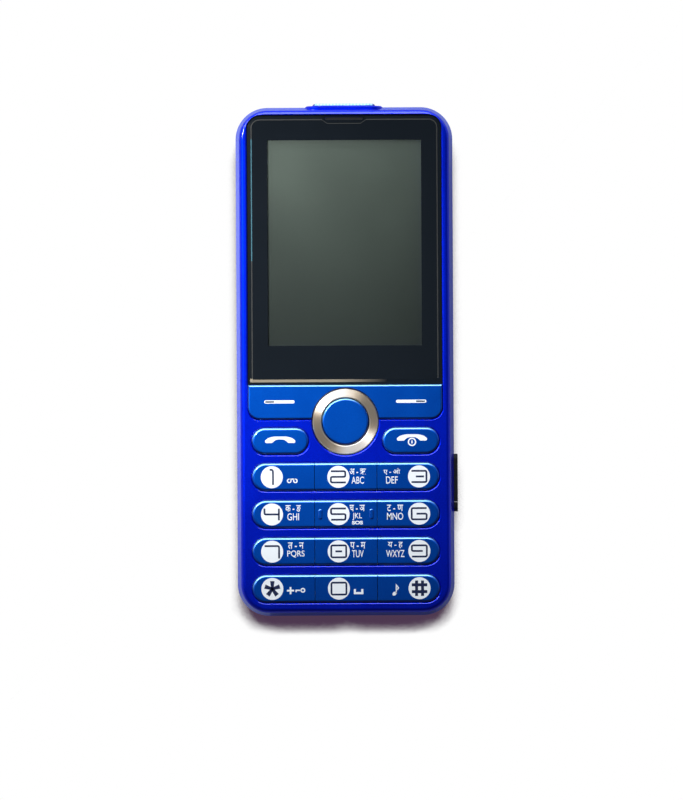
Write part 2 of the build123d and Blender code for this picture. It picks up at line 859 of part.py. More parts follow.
# Earpiece: woven mesh in the lens slot, receiver on the board below it
mesh_fit = 0.03
mesh_drop = 0.35
receiver_width = 14.0
receiver_gap = 0.3
receiver_foot = tray_head_y + receiver_gap
receiver_head = torch_inner - receiver_gap
with BuildPart() as earpiece_mesh:
    with BuildSketch(Plane.XY.offset(ledge_top)):
        with Locations((0, earpiece_y)):
            SlotOverall(earpiece_width - 2 * mesh_fit, earpiece_height - 2 * mesh_fit)
    extrude(amount=lens_top - lens_bevel_depth - mesh_drop - ledge_top)
earpiece_mesh.part.label = "earpiece_mesh"
export_step(earpiece_mesh.part, "parts/earpiece_mesh.step")

with BuildPart() as earpiece_receiver:
    block(around(0, receiver_width / 2), (receiver_foot, receiver_head), (board_top, tray_top))
    fillet(earpiece_receiver.edges().filter_by(Axis.Z), receiver_gap)
earpiece_receiver.part.label = "earpiece_receiver"
export_step(earpiece_receiver.part, "parts/earpiece_receiver.step")

# Soft-key bar: one piece with a thin bridge above the ring
bar_underhang = 0.7
with BuildPart() as soft_key_bar:
    with BuildSketch(Plane.XY.offset(plate_underside - bar_underhang)):
        bar_outline(0)
    extrude(amount=key_top - plate_underside + bar_underhang)
    fillet(soft_key_bar.edges().group_by(Axis.Z)[-1], bar_edge)
    post(0, nav_y, nav_radius + ring_gap, (0, key_top + cut_overrun), Mode.SUBTRACT)
    rim = soft_key_bar.edges().filter_by(GeomType.CIRCLE).group_by(Axis.Z)[-1]
    chamfer(rim, bar_ring_edge)
soft_key_bar.part.label = "soft_key_bar"
export_step(soft_key_bar.part, "parts/soft_key_bar.step")

# Navigation ring: plated band that falls outwards, on a silicone pad that lets it tilt
pad_height = 0.3
pad_ring_gap = 0.35
nav_top = face_height + nav_stand
nav_bottom = key_bottom + pad_height + pad_ring_gap
with BuildPart() as nav_ring:
    with BuildSketch(Plane.XZ):
        with BuildLine():
            Polyline(
                (nav_bore, nav_bottom),
                (nav_radius, nav_bottom),
                (nav_radius, nav_top - nav_band_drop - nav_edge),
                (nav_radius - nav_edge, nav_top - nav_band_drop),
                (nav_bore + nav_edge, nav_top),
                (nav_bore, nav_top - nav_edge),
                close=True,
            )
        make_face()
    revolve(axis=Axis.Z)
nav_ring.part = nav_ring.part.moved(Location((0, nav_y, 0)))
nav_ring.part.label = "nav_ring"
export_step(nav_ring.part, "parts/nav_ring.step")

with BuildPart() as nav_pad:
    post(0, nav_y, nav_radius, (key_bottom, key_bottom + pad_height))
    post(0, nav_y, nav_bore + ok_gap, (0, face_height), Mode.SUBTRACT)
nav_pad.part.label = "nav_pad"
export_step(nav_pad.part, "parts/nav_pad.step")

with BuildPart() as ok_key:
    post(0, nav_y, nav_bore - ok_gap, (key_bottom, key_top))
    fillet(ok_key.edges().group_by(Axis.Z)[-1], ok_edge)
ok_key.part.label = "ok_key"
export_step(ok_key.part, "parts/ok_key.step")

# Call and end keys: full stadiums with a lip under the face plate
call_lip_gap = 0.95
for side, call_name in ((-1, "call_key"), (1, "end_key")):
    with BuildPart() as call_cap:
        with BuildSketch(Plane.XY.offset(key_bottom)):
            with Locations((side * call_x, call_y)):
                SlotOverall(call_width, call_height)
        extrude(amount=key_top - key_bottom)
        fillet(call_cap.edges().group_by(Axis.Z)[-1], key_edge)
        with BuildSketch(Plane.XY.offset(lip_bottom)):
            with Locations((side * call_x, call_y)):
                SlotOverall(call_width + 2 * key_lip, call_height + 2 * key_lip)
            with Locations((0, nav_y)):
                Circle(nav_radius + call_lip_gap, mode=Mode.SUBTRACT)
        extrude(amount=key_lip_height)
    call_cap.part.label = call_name
    export_step(call_cap.part, f"parts/{call_name}.step")

# Twelve keypad keys: each row is one stadium, split into three caps
pip_reach = 6.1
pip_width = 0.9
pip_length = 2.4
pip_height = 0.25
pip_edge = 0.2
key_names = (("star", "0", "hash"), ("7", "8", "9"), ("4", "5", "6"), ("1", "2", "3"))


def key_outline(column, y, grow):
    """One key's share of its row, grown all round except beside its neighbours."""
    reach = (key_width - key_gap) / 2
    left = column_xs[column] - reach - (row_margin if column == 0 else 0)
    right = column_xs[column] + reach + (row_margin if column == key_columns - 1 else 0)
    with Locations((0, y)):
        SlotOverall(row_width + 2 * grow, key_height + 2 * grow)
    with Locations(((left + right) / 2, y)):
        Rectangle(right - left, row_pitch, mode=Mode.INTERSECT)


for row_y, names in zip(row_ys, key_names):
    for column, name in enumerate(names):
        column_x = column_xs[column]
        with BuildPart() as key:
            with BuildSketch(Plane.XY.offset(key_bottom)):
                key_outline(column, row_y, 0)
            extrude(amount=key_top - key_bottom)
            top_edges = key.edges().group_by(Axis.Z)[-1]
            fillet(top_edges - top_edges.filter_by(Axis.Y), key_edge)
            with BuildSketch(Plane.XY.offset(lip_bottom)):
                key_outline(column, row_y, key_lip)
            extrude(amount=key_lip_height)
            if name == "5":
                with BuildSketch(Plane.XY.offset(key_top - pip_height)):
                    with Locations((column_x - pip_reach, row_y), (column_x + pip_reach, row_y)):
                        SlotOverall(pip_length, pip_width, rotation=90)
                extrude(amount=2 * pip_height)
                fillet(key.edges().group_by(Axis.Z)[-1], pip_edge)
        key.part.label = f"key_{name}"
        export_step(key.part, f"parts/key_{name}.step")

# Torch lens, held by its flange, and the lamps behind it
torch_lamp_count = 3
torch_lamp_pitch = 4.5
torch_lamp_width = 3.2
torch_lamp_depth = 1.3
torch_lamp_height = 1.5
torch_lamp_gap = 0.4
with BuildPart() as torch_lens:
    with BuildSketch(Plane.XZ.offset(-torch_inner)):
        with Locations((0, torch_z)):
            RectangleRounded(torch_width, torch_height, torch_corner - torch_gap)
    extrude(amount=torch_inner - half_length - torch_proud)
    fillet(torch_lens.edges().group_by(Axis.Y)[-1], torch_edge)
    with BuildSketch(Plane.XZ.offset(-torch_inner)):
        with Locations((0, torch_z)):
            RectangleRounded(torch_width + 2 * torch_flange, torch_height + 2 * torch_lip, torch_corner)
    extrude(amount=-torch_flange_depth)
torch_lens.part.label = "torch_lens"
export_step(torch_lens.part, "parts/torch_lens.step")

torch_lamp_head = torch_inner - torch_lamp_gap
with BuildPart() as torch_lamps:
    for i in range(torch_lamp_count):
        lamp_place = (i - (torch_lamp_count - 1) / 2) * torch_lamp_pitch
        block(
            around(lamp_place, torch_lamp_width / 2),
            (torch_lamp_head - torch_lamp_depth, torch_lamp_head),
            (board_bottom - torch_lamp_height, board_bottom),
        )
torch_lamps.part.label = "torch_lamps"
export_step(torch_lamps.part, "parts/torch_lamps.step")

# Loudspeaker over its mesh
speaker_basket = 1.2
speaker_rim = 1.4
speaker_bottom = back_wall + speaker_mesh_thickness
speaker_top = speaker_bottom + speaker_height
with BuildPart() as loudspeaker:
    post(speaker_x, speaker_y, speaker_radius, (speaker_bottom, speaker_top - speaker_basket))
    post(speaker_x, speaker_y, speaker_radius - speaker_rim, (speaker_bottom, speaker_top))
loudspeaker.part.label = "loudspeaker"
export_step(loudspeaker.part, "parts/loudspeaker.step")

with BuildPart() as speaker_mesh:
    post(speaker_x, speaker_y, speaker_mesh_radius, (back_wall, back_wall + speaker_mesh_thickness))
speaker_mesh.part.label = "speaker_mesh"
export_step(speaker_mesh.part, "parts/speaker_mesh.step")

# Camera block on the board, looking out through a window in the back
with BuildPart() as camera_module:
    block(around(camera_x, camera_size / 2), around(camera_y, camera_size / 2), (camera_base, board_bottom))
    post(camera_x, camera_y, camera_barrel, (window_seat + seat_gap, camera_base))
camera_module.part.label = "camera_module"
export_step(camera_module.part, "parts/camera_module.step")

with BuildPart() as camera_window:
    post(camera_x, camera_y, camera_window_radius, (camera_window_recess, window_seat))
camera_window.part.label = "camera_window"
export_step(camera_window.part, "parts/camera_window.step")

# Shield can over the radio chips, under the board and clear of the loudspeaker
can_side = 3.9
can_camera_gap = 6.2
can_length = 23.0
can_height = 1.7
can_wall = 0.2
can_y = speaker_y
can_left = can_side - half_width
can_right = camera_x - camera_size / 2 - can_camera_gap
with BuildPart() as shield_can:
    can_rise = (board_bottom - can_height, board_bottom)
    block((can_left, can_right), around(can_y, can_length / 2), can_rise)
    block(
        (can_left + can_wall, can_right - can_wall),
        around(can_y, can_length / 2 - can_wall),
        (board_bottom - can_height + can_wall, board_bottom + cut_overrun),
        mode=Mode.SUBTRACT,
    )
shield_can.part.label = "shield_can"
export_step(shield_can.part, "parts/shield_can.step")

# Vibration motor and the half-round weight on its shaft, heavy side down
with BuildPart() as vibration_motor:
    along_x(motor_y, motor_z, motor_radius, (motor_x, motor_end))
    bore_span = (motor_end - motor_bore_depth, motor_end + cut_overrun)
    along_x(motor_y, motor_z, motor_shaft_radius + motor_shaft_gap, bore_span, Mode.SUBTRACT)
vibration_motor.part.label = "vibration_motor"
export_step(vibration_motor.part, "parts/vibration_motor.step")

weight_span = (weight_start, weight_start + weight_length)
with BuildPart() as vibration_weight:
    along_x(motor_y, motor_z, weight_radius, weight_span)
    block(weight_span, around(motor_y, weight_radius), (motor_z, motor_z + weight_radius), mode=Mode.SUBTRACT)
    shaft_span = (motor_end - motor_bore_depth + seat_gap, weight_start + weight_length)
    along_x(motor_y, motor_z, motor_shaft_radius, shaft_span)
vibration_weight.part.label = "vibration_weight"
export_step(vibration_weight.part, "parts/vibration_weight.step")

# Microphone behind its port
with BuildPart() as microphone:
    post(mic_x, mic_y, mic_radius, (board_bottom - mic_height, board_bottom))
microphone.part.label = "microphone"
export_step(microphone.part, "parts/microphone.step")

# Headset socket: a block with a collar that fills the hole in the end wall
jack_mouth = -half_length + jack_sink
jack_face = chassis_wall + seat_gap - chassis_length / 2
jack_end = jack_face + jack_length
jack_back_wall = 0.6
with BuildPart() as headset_socket:
    block(around(0, jack_width / 2), (jack_face, jack_end), (jack_bottom, board_bottom))
    along_y(0, jack_z, jack_collar_radius, (jack_mouth, jack_face + seat_gap))
    along_y(0, jack_z, jack_radius, (jack_mouth - cut_overrun, jack_end - jack_back_wall), Mode.SUBTRACT)
headset_socket.part.label = "headset_socket"
export_step(headset_socket.part, "parts/headset_socket.step")

# Charging socket: steel shell with a tongue in its mouth
usb_back = usb_face - usb_depth
with BuildPart() as usb_socket:
    block((usb_back, usb_face), around(usb_y, usb_width / 2), (board_bottom - usb_height, board_bottom))
    block(
        (usb_back + usb_mouth, usb_face + cut_overrun),
        around(usb_y, usb_width / 2 - usb_shell),
        around(usb_z, usb_height / 2 - usb_mouth),
        mode=Mode.SUBTRACT,
    )
    block(
        (usb_back, usb_face - usb_mouth),
        around(usb_y, usb_tongue_width / 2),
        around(usb_z, usb_tongue_height / 2),
    )
usb_socket.part.label = "usb_socket"
export_step(usb_socket.part, "parts/usb_socket.step")

# Rubber flap and the anchor that keeps it on the phone
anchor_peg_length = 0.9
with BuildPart() as port_flap:
    block(
        (flap_recess_x + flap_gap, flap_face_x),
        (flap_hinge_y + flap_seam, flap_foot + flap_length),
        around(usb_z, flap_height / 2),
    )
    fillet(port_flap.edges().filter_by(Axis.X).group_by(Axis.Y)[-1], flap_corner)
    outer_edges = port_flap.faces().sort_by(Axis.X)[-1].edges()
    fillet(outer_edges - port_flap.edges().filter_by(Axis.Z).group_by(Axis.Y)[0], flap_seam)
    block(
        (flap_recess_x + flap_gap - flap_plug_depth, flap_recess_x + flap_gap),
        around(usb_y, flap_plug_width / 2),
        around(usb_z, flap_plug_height / 2),
    )
port_flap.part.label = "port_flap"
export_step(port_flap.part, "parts/port_flap.step")

with BuildPart() as flap_anchor:
    block((flap_recess_x + flap_gap, flap_face_x), (flap_foot, flap_hinge_y), around(usb_z, flap_height / 2))
    fillet(flap_anchor.edges().filter_by(Axis.X).group_by(Axis.Y)[0], flap_corner)
    peg_span = (flap_recess_x + flap_gap - anchor_peg_length, flap_recess_x + flap_gap)
    along_x(anchor_y, usb_z, anchor_peg_radius, peg_span)
flap_anchor.part.label = "flap_anchor"
export_step(flap_anchor.part, "parts/flap_anchor.step")

# Antenna plate on the chassis floor, with two legs up to the board
antenna_width = 13.0
antenna_length = 8.6
antenna_thickness = 0.3
antenna_side = 12.4
antenna_rise = 7.2
antenna_leg = 1.2
antenna_leg_reach = 4.5
antenna_x = half_width - antenna_side
antenna_y = antenna_rise - half_length
with BuildPart() as antenna:
    block(
        around(antenna_x, antenna_width / 2),
        around(antenna_y, antenna_length / 2),
        (chassis_floor_top, chassis_floor_top + antenna_thickness),
    )
    for side in (-1, 1):
        block(
            around(antenna_x + side * antenna_leg_reach, antenna_leg / 2),
            (antenna_y + antenna_length / 2 - antenna_thickness, antenna_y + antenna_length / 2),
            (chassis_floor_top, board_bottom),
        )
antenna.part.label = "antenna"
export_step(antenna.part, "parts/antenna.step")

# Six screws from the chassis into the front cover
driver_width = 0.3
driver_depth = 0.35
with BuildPart() as housing_screws:
    for x, y in boss_places:
        post(x, y, screw_head_radius, (screw_seat - screw_head_height, screw_seat))
        post(x, y, screw_radius, (screw_seat, screw_top))
        head_bottom = screw_seat - screw_head_height
        slot_span = (head_bottom - cut_overrun, head_bottom + driver_depth)
        block(around(x, screw_radius), around(y, driver_width / 2), slot_span, mode=Mode.SUBTRACT)
        block(around(x, driver_width / 2), around(y, screw_radius), slot_span, mode=Mode.SUBTRACT)
housing_screws.part.label = "housing_screws"
export_step(housing_screws.part, "parts/housing_screws.step")
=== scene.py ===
from math import cos, pi, radians, sin

import bmesh
import bpy
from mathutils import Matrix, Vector


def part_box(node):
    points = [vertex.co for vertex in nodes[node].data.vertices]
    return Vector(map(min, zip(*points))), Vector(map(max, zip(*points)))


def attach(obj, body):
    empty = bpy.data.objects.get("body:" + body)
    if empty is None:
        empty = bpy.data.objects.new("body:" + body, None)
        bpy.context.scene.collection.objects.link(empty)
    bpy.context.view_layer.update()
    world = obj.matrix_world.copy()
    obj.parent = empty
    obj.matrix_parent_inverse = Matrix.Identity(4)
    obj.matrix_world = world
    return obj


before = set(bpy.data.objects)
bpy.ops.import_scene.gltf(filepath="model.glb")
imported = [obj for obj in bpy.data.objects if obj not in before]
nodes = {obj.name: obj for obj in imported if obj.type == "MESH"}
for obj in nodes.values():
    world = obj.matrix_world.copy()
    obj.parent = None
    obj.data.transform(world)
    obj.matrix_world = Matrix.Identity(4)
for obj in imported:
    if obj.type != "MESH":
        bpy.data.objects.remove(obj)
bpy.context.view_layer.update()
mm = 0.001

# Camera: it looks straight down on the phone, which lies a little turned to the left
# in the picture and above the picture's middle. One pixel is 0.2386 mm on the phone.
pixel = 0.2386 * mm
picture_rows = 800
camera_rise = 1500 * mm
camera_turn = radians(0.3)
picture_centre = (-0.9 * mm, -9.2 * mm)
sensor_height = 24.0
scale_level = 11 * mm

lens = bpy.data.cameras.new("camera")
lens.sensor_fit = "VERTICAL"
lens.sensor_height = sensor_height
lens.lens = sensor_height * camera_rise / (picture_rows * pixel)
lens.clip_start = 10 * mm
camera = bpy.data.objects.new("camera", lens)
camera.location = (*picture_centre, scale_level + camera_rise)
camera.rotation_euler = (0, 0, -camera_turn)
bpy.context.scene.collection.objects.link(camera)
bpy.context.scene.camera = camera
bpy.context.scene.view_settings.view_transform = "Standard"


# Room: a big soft window beyond the phone's head and a small lamp high on its upper left,
# under a dim ceiling. Metal and glass mirror a bright wall at the head and a dark one at
# the foot, and the camera sees only white.
class Wire:
    """The output of a node, which takes part in sums."""

    def __init__(self, finish, end):
        self.finish = finish
        self.end = end

    def maths(self, operation, *others):
        """Math node on this value and others."""
        return self.finish.add("Math", {"operation": operation}, dict(enumerate((self, *others))))

    def __add__(self, other):
        return self.maths("ADD", other)

    def __sub__(self, other):
        return self.maths("SUBTRACT", other)

    def __rsub__(self, other):
        return self.finish.add("Math", {"operation": "SUBTRACT"}, {0: other, 1: self})

    def __mul__(self, other):
        return self.maths("MULTIPLY", other)

    def __lt__(self, other):
        return self.maths("LESS_THAN", other)

    def __gt__(self, other):
        return self.maths("GREATER_THAN", other)

    __radd__ = __add__
    __rmul__ = __mul__


class Finish:
    """The nodes of one material, or of the world, added one by one."""

    def __init__(self, name, owner=None):
        self.material = owner or bpy.data.materials.new(name)
        self.material.use_nodes = True
        self.tree = self.material.node_tree
        self.tree.nodes.clear()

    def add(self, kind, settings=None, values=None, output=0):
        """Node of a kind: its settings are made first, then its sockets get values or links."""
        node = self.tree.nodes.new("ShaderNode" + kind)
        for name, setting in (settings or {}).items():
            setattr(node, name, setting)
        for name, value in (values or {}).items():
            if isinstance(value, Wire):
                self.tree.links.new(value.end, node.inputs[name])
            else:
                node.inputs[name].default_value = value
        return Wire(self, node.outputs[output]) if node.outputs else None

    def mix(self, factor, low, high):
        """Colour between two others."""
        return self.add("Mix", {"data_type": "RGBA"}, {0: factor, 6: low, 7: high}, output=2)

    def place(self):
        """Position on the phone, in metres."""
        return self.add("TexCoord", output="Object")

    def axes(self):
        """The three parts of that position."""
        place = self.place()
        return [self.add("SeparateXYZ", None, {0: place}, output=i) for i in range(3)]

    def grain(self, size, detail=2.0):
        """Noise from 0 to 1 whose blotches have about that size in metres."""
        values = {"Vector": self.place(), "Scale": 1 / size, "Detail": detail}
        return self.add("TexNoise", None, values)

    def bump(self, height, depth):
        """Normal for a relief of that depth in metres."""
        return self.add("Bump", None, {"Height": height, "Distance": depth, "Strength": 1.0})

    def surface(self, **sockets):
        """Principled surface, with the sockets' names written with underlines."""
        values = {name.replace("_", " "): value for name, value in sockets.items()}
        shader = self.add("BsdfPrincipled", None, values)
        self.add("OutputMaterial", None, {"Surface": shader})


def srgb(red, green, blue):
    """Linear colour from the numbers of a colour picker."""
    parts = [value / 255 for value in (red, green, blue)]
    return (*(p / 12.92 if p <= 0.04045 else ((p + 0.055) / 1.055) ** 2.4 for p in parts), 1.0)


def lamp(name, kind, place, aim, power, colour, **settings):
    """Lamp that faces a place on the phone and stays out of the picture."""
    light = bpy.data.lights.new(name, kind)
    light.energy = power
    light.color = colour
    for setting, value in settings.items():
        setattr(light, setting, value)
    holder = bpy.data.objects.new(name, light)
    holder.location = place
    holder.rotation_euler = (Vector(aim) - Vector(place)).to_track_quat("-Z", "Y").to_euler()
    holder.visible_camera = False
    bpy.context.scene.collection.objects.link(holder)


window_width, window_height = 0.80, 0.40
lamp(
    "window",
    "AREA",
    place=(-0.12, 0.42, 0.34),
    aim=(0, 0, 0),
    power=4.4,
    colour=(0.93, 0.98, 1.0),
    shape="RECTANGLE",
    size=window_width,
    size_y=window_height,
)
bulb_radius = 0.02
lamp(
    "near_lamp",
    "SPOT",
    place=(-0.155, 0.095, 0.255),
    aim=(-0.022, 0.008, 0),
    power=3.4,
    colour=(1.0, 1.0, 1.0),
    spot_size=radians(27.5),
    spot_blend=1,
    shadow_soft_size=bulb_radius,
)

ceiling = (0.014, 0.018, 0.024, 1.0)
bright_wall = (0.55, 0.80, 1.05, 1.0)
dark_wall = (0.20, 0.20, 0.26, 1.0)
dimness = (0.16, 0.16, 0.18, 1.0)
paper = (1.0, 1.0, 1.0, 1.0)
wall_foot, ceiling_start = 0.10, 0.62
dark_side, bright_side = -0.5, 0.5
world = bpy.data.worlds.new("room")
bpy.context.scene.world = world
sky = Finish("room", world)
way = sky.add("TexCoord", output="Generated")
north, up = (sky.add("SeparateXYZ", None, {0: way}, output=i) for i in (1, 2))
side = sky.add("MapRange", None, {0: north, 1: dark_side, 2: bright_side})
rise = sky.add("MapRange", None, {0: up, 1: wall_foot, 2: ceiling_start})
seen = sky.add("LightPath", output="Is Camera Ray")
glossy = sky.add("LightPath", output="Is Glossy Ray")
mirrored = glossy.maths("MAXIMUM", sky.add("LightPath", output="Is Transmission Ray"))
reflected = sky.mix(rise, sky.mix(side, dark_wall, bright_wall), ceiling)
room_colour = sky.mix(seen, sky.mix(mirrored, dimness, reflected), paper)
background = sky.add("Background", None, {"Color": room_colour, "Strength": 1.0})
sky.add("OutputWorld", None, {"Surface": background})

# Floor: white paper that lies just under the phone. The camera sees it as pure white, but
# for the dark shade that the phone's body throws away from the window.
floor_reach = 3.0
floor_drop = -0.02 * mm
paper_shade = (0.36, 0.42, 0.62, 1.0)
shade_colour = (0.075, 0.040, 0.080, 1.0)
shade_reach = 7 * mm
shade_samples = 16
to_window = (0.0, 0.92, 0.38)
shade_dark, shade_clear = 0.60, 0.76
floor_mesh = bpy.data.meshes.new("floor")
floor_corners = [(-floor_reach, -floor_reach), (floor_reach, -floor_reach)]
floor_corners += [(floor_reach, floor_reach), (-floor_reach, floor_reach)]
floor_mesh.from_pydata([(x, y, floor_drop) for x, y in floor_corners], [], [(0, 1, 2, 3)])
floor = bpy.data.objects.new("floor", floor_mesh)
bpy.context.scene.collection.objects.link(floor)
sheet = Finish("white_paper")
window_way = sheet.add("CombineXYZ", None, dict(enumerate(to_window)))
shade = sheet.add(
    "AmbientOcclusion",
    {"samples": shade_samples},
    {"Distance": shade_reach, "Normal": window_way},
    output="AO",
)
open_share = sheet.add(
    "MapRange",
    {"interpolation_type": "SMOOTHSTEP"},
    {0: shade, 1: shade_dark, 2: shade_clear},
)
printed = sheet.add("Emission", None, {"Color": sheet.mix(open_share, shade_colour, paper)})
lit = sheet.add("BsdfDiffuse", None, {"Color": paper_shade})
shown = sheet.add("LightPath", output="Is Camera Ray")
both = sheet.add("MixShader", None, {0: shown, 1: lit, 2: printed})
sheet.add("OutputMaterial", None, {"Surface": both})
floor_mesh.materials.append(sheet.material)


# Shells: front cover, rear housing and battery door, moulded in hard plastic and sprayed
# with a metallic blue lacquer under a clear gloss coat. The cover is screwed to the
# housing from behind, and the door slides on its rails.
# Painted highlight and painted shade on the lacquer: where each starts and is full along the slope,
# and the turn of the light's way from the head.
sheen_start, sheen_full = 0.22, 0.50
foot_shade_start, foot_shade_full = -0.12, -0.42
light_turn = radians(22)
cloud_size = 9 * mm
peel_size, peel_depth = 0.6 * mm, 0.0015 * mm


def dress(finish, *names):
    """Gives CAD nodes a finish."""
    for name in names:
        for slot in nodes[name].material_slots:
            slot.material = finish.material


def lacquer(name, deep, bright, edge, foot, flake_size, flake_share, metal):
    """Metallic paint: flakes of a brighter colour in a deep one, under a clear coat. Slopes that
    face the head are painted paler in the edge colour as a painted highlight, and slopes that
    face the foot are painted darker in the foot colour as painted shade."""
    finish = Finish(name)
    cells = {"Vector": finish.place(), "Scale": 1 / flake_size}
    flakes = finish.add("TexVoronoi", None, cells, output="Color")
    glint = finish.add("SeparateColor", None, {0: flakes})
    cloud = finish.grain(cloud_size)
    amount = glint * flake_share + cloud * (1 - flake_share)
    facing = finish.add("TexCoord", output="Normal")
    east, head = (finish.add("SeparateXYZ", None, {0: facing}, output=i) for i in (0, 1))
    slope = head * cos(light_turn) - east * sin(light_turn)
    # Painted highlight on slopes that face the head, and painted shade on those that face the foot.
    thin = finish.add("MapRange", None, {0: slope, 1: sheen_start, 2: sheen_full})
    foot_shade = finish.add("MapRange", None, {0: slope, 1: foot_shade_start, 2: foot_shade_full})
    painted = finish.mix(foot_shade, finish.mix(amount, deep, bright), foot)
    finish.surface(
        Base_Color=finish.mix(thin, painted, edge),
        Metallic=metal + 0.1 * glint,
        Roughness=0.42 + 0.06 * cloud,
        Specular_IOR_Level=0.0,
        Specular_Tint=(0.15, 0.25, 0.8, 1.0),
        Coat_Weight=1.0,
        Coat_Roughness=0.04,
        Coat_IOR=1.55,
        Normal=finish.bump(finish.grain(peel_size, 3.0), peel_depth),
    )
    return finish


body_lacquer = lacquer(
    "blue_lacquer",
    deep=srgb(2, 24, 210),
    bright=srgb(4, 48, 252),
    # The edge colour is a painted highlight on head-facing slopes, and the foot colour is painted
    # shade on foot-facing ones.
    edge=srgb(6, 40, 240),
    foot=srgb(2, 22, 196),
    flake_size=0.12 * mm,
    flake_share=0.6,
    metal=0.85,
)
dress(body_lacquer, "front_cover", "rear_housing", "battery_door")

# Keys: hard caps sprayed in a lighter metallic blue, clear coated like the shells.
# The centre key and the soft-key bar have the same paint.
key_lacquer = lacquer(
    "key_lacquer",
    deep=srgb(0, 78, 196),
    bright=srgb(8, 104, 226),
    # The edge colour is a painted highlight on head-facing key rims, and the foot colour is painted
    # shade on foot-facing ones.
    edge=srgb(150, 214, 255),
    foot=srgb(0, 40, 122),
    flake_size=0.10 * mm,
    flake_share=0.5,
    metal=0.85,
)
digit_keys = ["1", "2", "3", "4", "5", "6", "7", "8", "9", "star", "0", "hash"]
key_nodes = [f"key_{name}" for name in digit_keys] + ["call_key", "end_key", "ok_key", "soft_key_bar"]
dress(key_lacquer, *key_nodes)

# Navigation ring: brass, turned on a lathe and plated in a pale rose gold. The fine marks
# run round it and stretch its highlights. Two paler wedges across its middle stand for the
# light that such marks throw back.
ring_low, ring_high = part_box("nav_ring")
ring_y = (ring_low[1] + ring_high[1]) / 2
mark_width = 0.30 * mm
wedge_angle = radians(118)
wedge_middle, wedge_edge = 0.40, 2.4
plated = Finish("turned_rose_gold")
to_right, ring_north, _ = plated.axes()
to_north = ring_north - ring_y
from_axis = to_right * to_right + to_north * to_north
turning = plated.add(
    "TexNoise",
    {"noise_dimensions": "1D"},
    {"W": from_axis.maths("SQRT") * (1 / mark_width), "Detail": 1.0},
)
along_wedge = to_right * cos(wedge_angle) + to_north * sin(wedge_angle)
share_along = along_wedge * along_wedge * from_axis.maths("POWER", -1)
wedge = ((share_along - wedge_middle) * wedge_edge).maths("MAXIMUM", 0).maths("MINIMUM", 1)
# Gold outside the painted highlight wedges, and the paler gold painted inside them.
plain_gold = plated.mix(turning, srgb(246, 216, 182), srgb(255, 236, 212))
highlight_gold = plated.mix(turning, srgb(252, 238, 226), srgb(255, 250, 244))
plated.surface(
    Base_Color=plated.mix(wedge, plain_gold, highlight_gold),
    Metallic=0.88 - 0.28 * wedge,
    Roughness=0.36 + 0.05 * turning,
    Anisotropic=0.92,
    Anisotropic_Rotation=0.25,
)
dress(plated, "nav_ring")

# Display window: a clear acrylic lens, printed black except over the picture and taped
# into the cover. Its sloping edge dips round the earpiece. Pale lines on its upper corner
# and along its foot stand for the light that they catch.
view_width = 36.7 * mm
view_length = 49.0 * mm
view_middle = 28.25 * mm
print_dark, print_light = srgb(20, 25, 30), srgb(24, 29, 35)
line_grey, line_blue, foot_pale = srgb(66, 66, 64), srgb(70, 112, 124), srgb(150, 138, 118)
clear_tint = (0.93, 0.95, 0.94, 1.0)
acrylic_index = 1.49
slope_line = 0.045 * mm
slope_skip = 0.004 * mm
dip_line = 0.16 * mm
dip_floor, dip_half = 3.95 * mm, 5.2 * mm
dip_fall, slope_fall = 2.05 * mm, 1.2 * mm
foot_band = 1.4 * mm
foot_line = 0.11 * mm
foot_start, foot_end = -2 * mm, 10 * mm
lit_edge, lit_foot, lit_head = -22 * mm, 24 * mm, 53 * mm
haze_size = 14 * mm
lens_low, lens_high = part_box("display_lens")
lens_finish = Finish("printed_lens")
lens_x, lens_y, lens_z = lens_finish.axes()
from_middle = lens_x.maths("ABSOLUTE")
across = from_middle < view_width / 2
along = (lens_y - view_middle).maths("ABSOLUTE") < view_length / 2
clear_part = across * along
sunk = lens_high[2] - lens_z
above_foot = lens_y > lens_low[1] + foot_band
sharp = (sunk > slope_skip) * (sunk < slope_line) * above_foot
dip_slope = (dip_fall - slope_fall) / (dip_half - dip_floor)
dip_rise = (from_middle - dip_floor).maths("MAXIMUM", 0) * dip_slope
above_dip = lens_y - dip_rise - (lens_high[1] - dip_fall)
dipped = (above_dip > 0) * (above_dip < dip_line) * (from_middle < dip_half)
lit_left = (lens_x < lit_edge) * (lens_y > lit_foot) * (lens_y < lit_head)
line_colour = lens_finish.mix(lit_left, line_grey, line_blue)
haze = lens_finish.grain(haze_size)
print_colour = lens_finish.mix(haze, print_dark, print_light)
foot_slope = (sunk > slope_skip) * (sunk < foot_line) * (1 - above_foot)
foot_fade = lens_finish.add("MapRange", None, {0: lens_x, 1: foot_end, 2: foot_start})
edge_colour = lens_finish.mix(sharp.maths("MAXIMUM", dipped), print_colour, line_colour)
ink_colour = lens_finish.mix(foot_slope * foot_fade, edge_colour, foot_pale)
ink_values = {"Base Color": ink_colour, "Roughness": 0.08 + 0.04 * haze}
ink = lens_finish.add("BsdfPrincipled", None, ink_values)
gloss = lens_finish.add("BsdfGlossy", None, {"Roughness": 0.03})
through = lens_finish.add("BsdfTransparent", None, {"Color": clear_tint})
edge_gloss = lens_finish.add("Fresnel", None, {"IOR": acrylic_index})
window = lens_finish.add("MixShader", None, {0: edge_gloss, 1: through, 2: gloss})
shading = lens_finish.add("LightPath", output="Is Shadow Ray")
let_through = clear_part.maths("MAXIMUM", shading)
lens_shader = lens_finish.add("MixShader", None, {0: let_through, 1: ink, 2: window})
lens_finish.add("OutputMaterial", None, {"Surface": lens_shader})
dress(lens_finish, "display_lens")
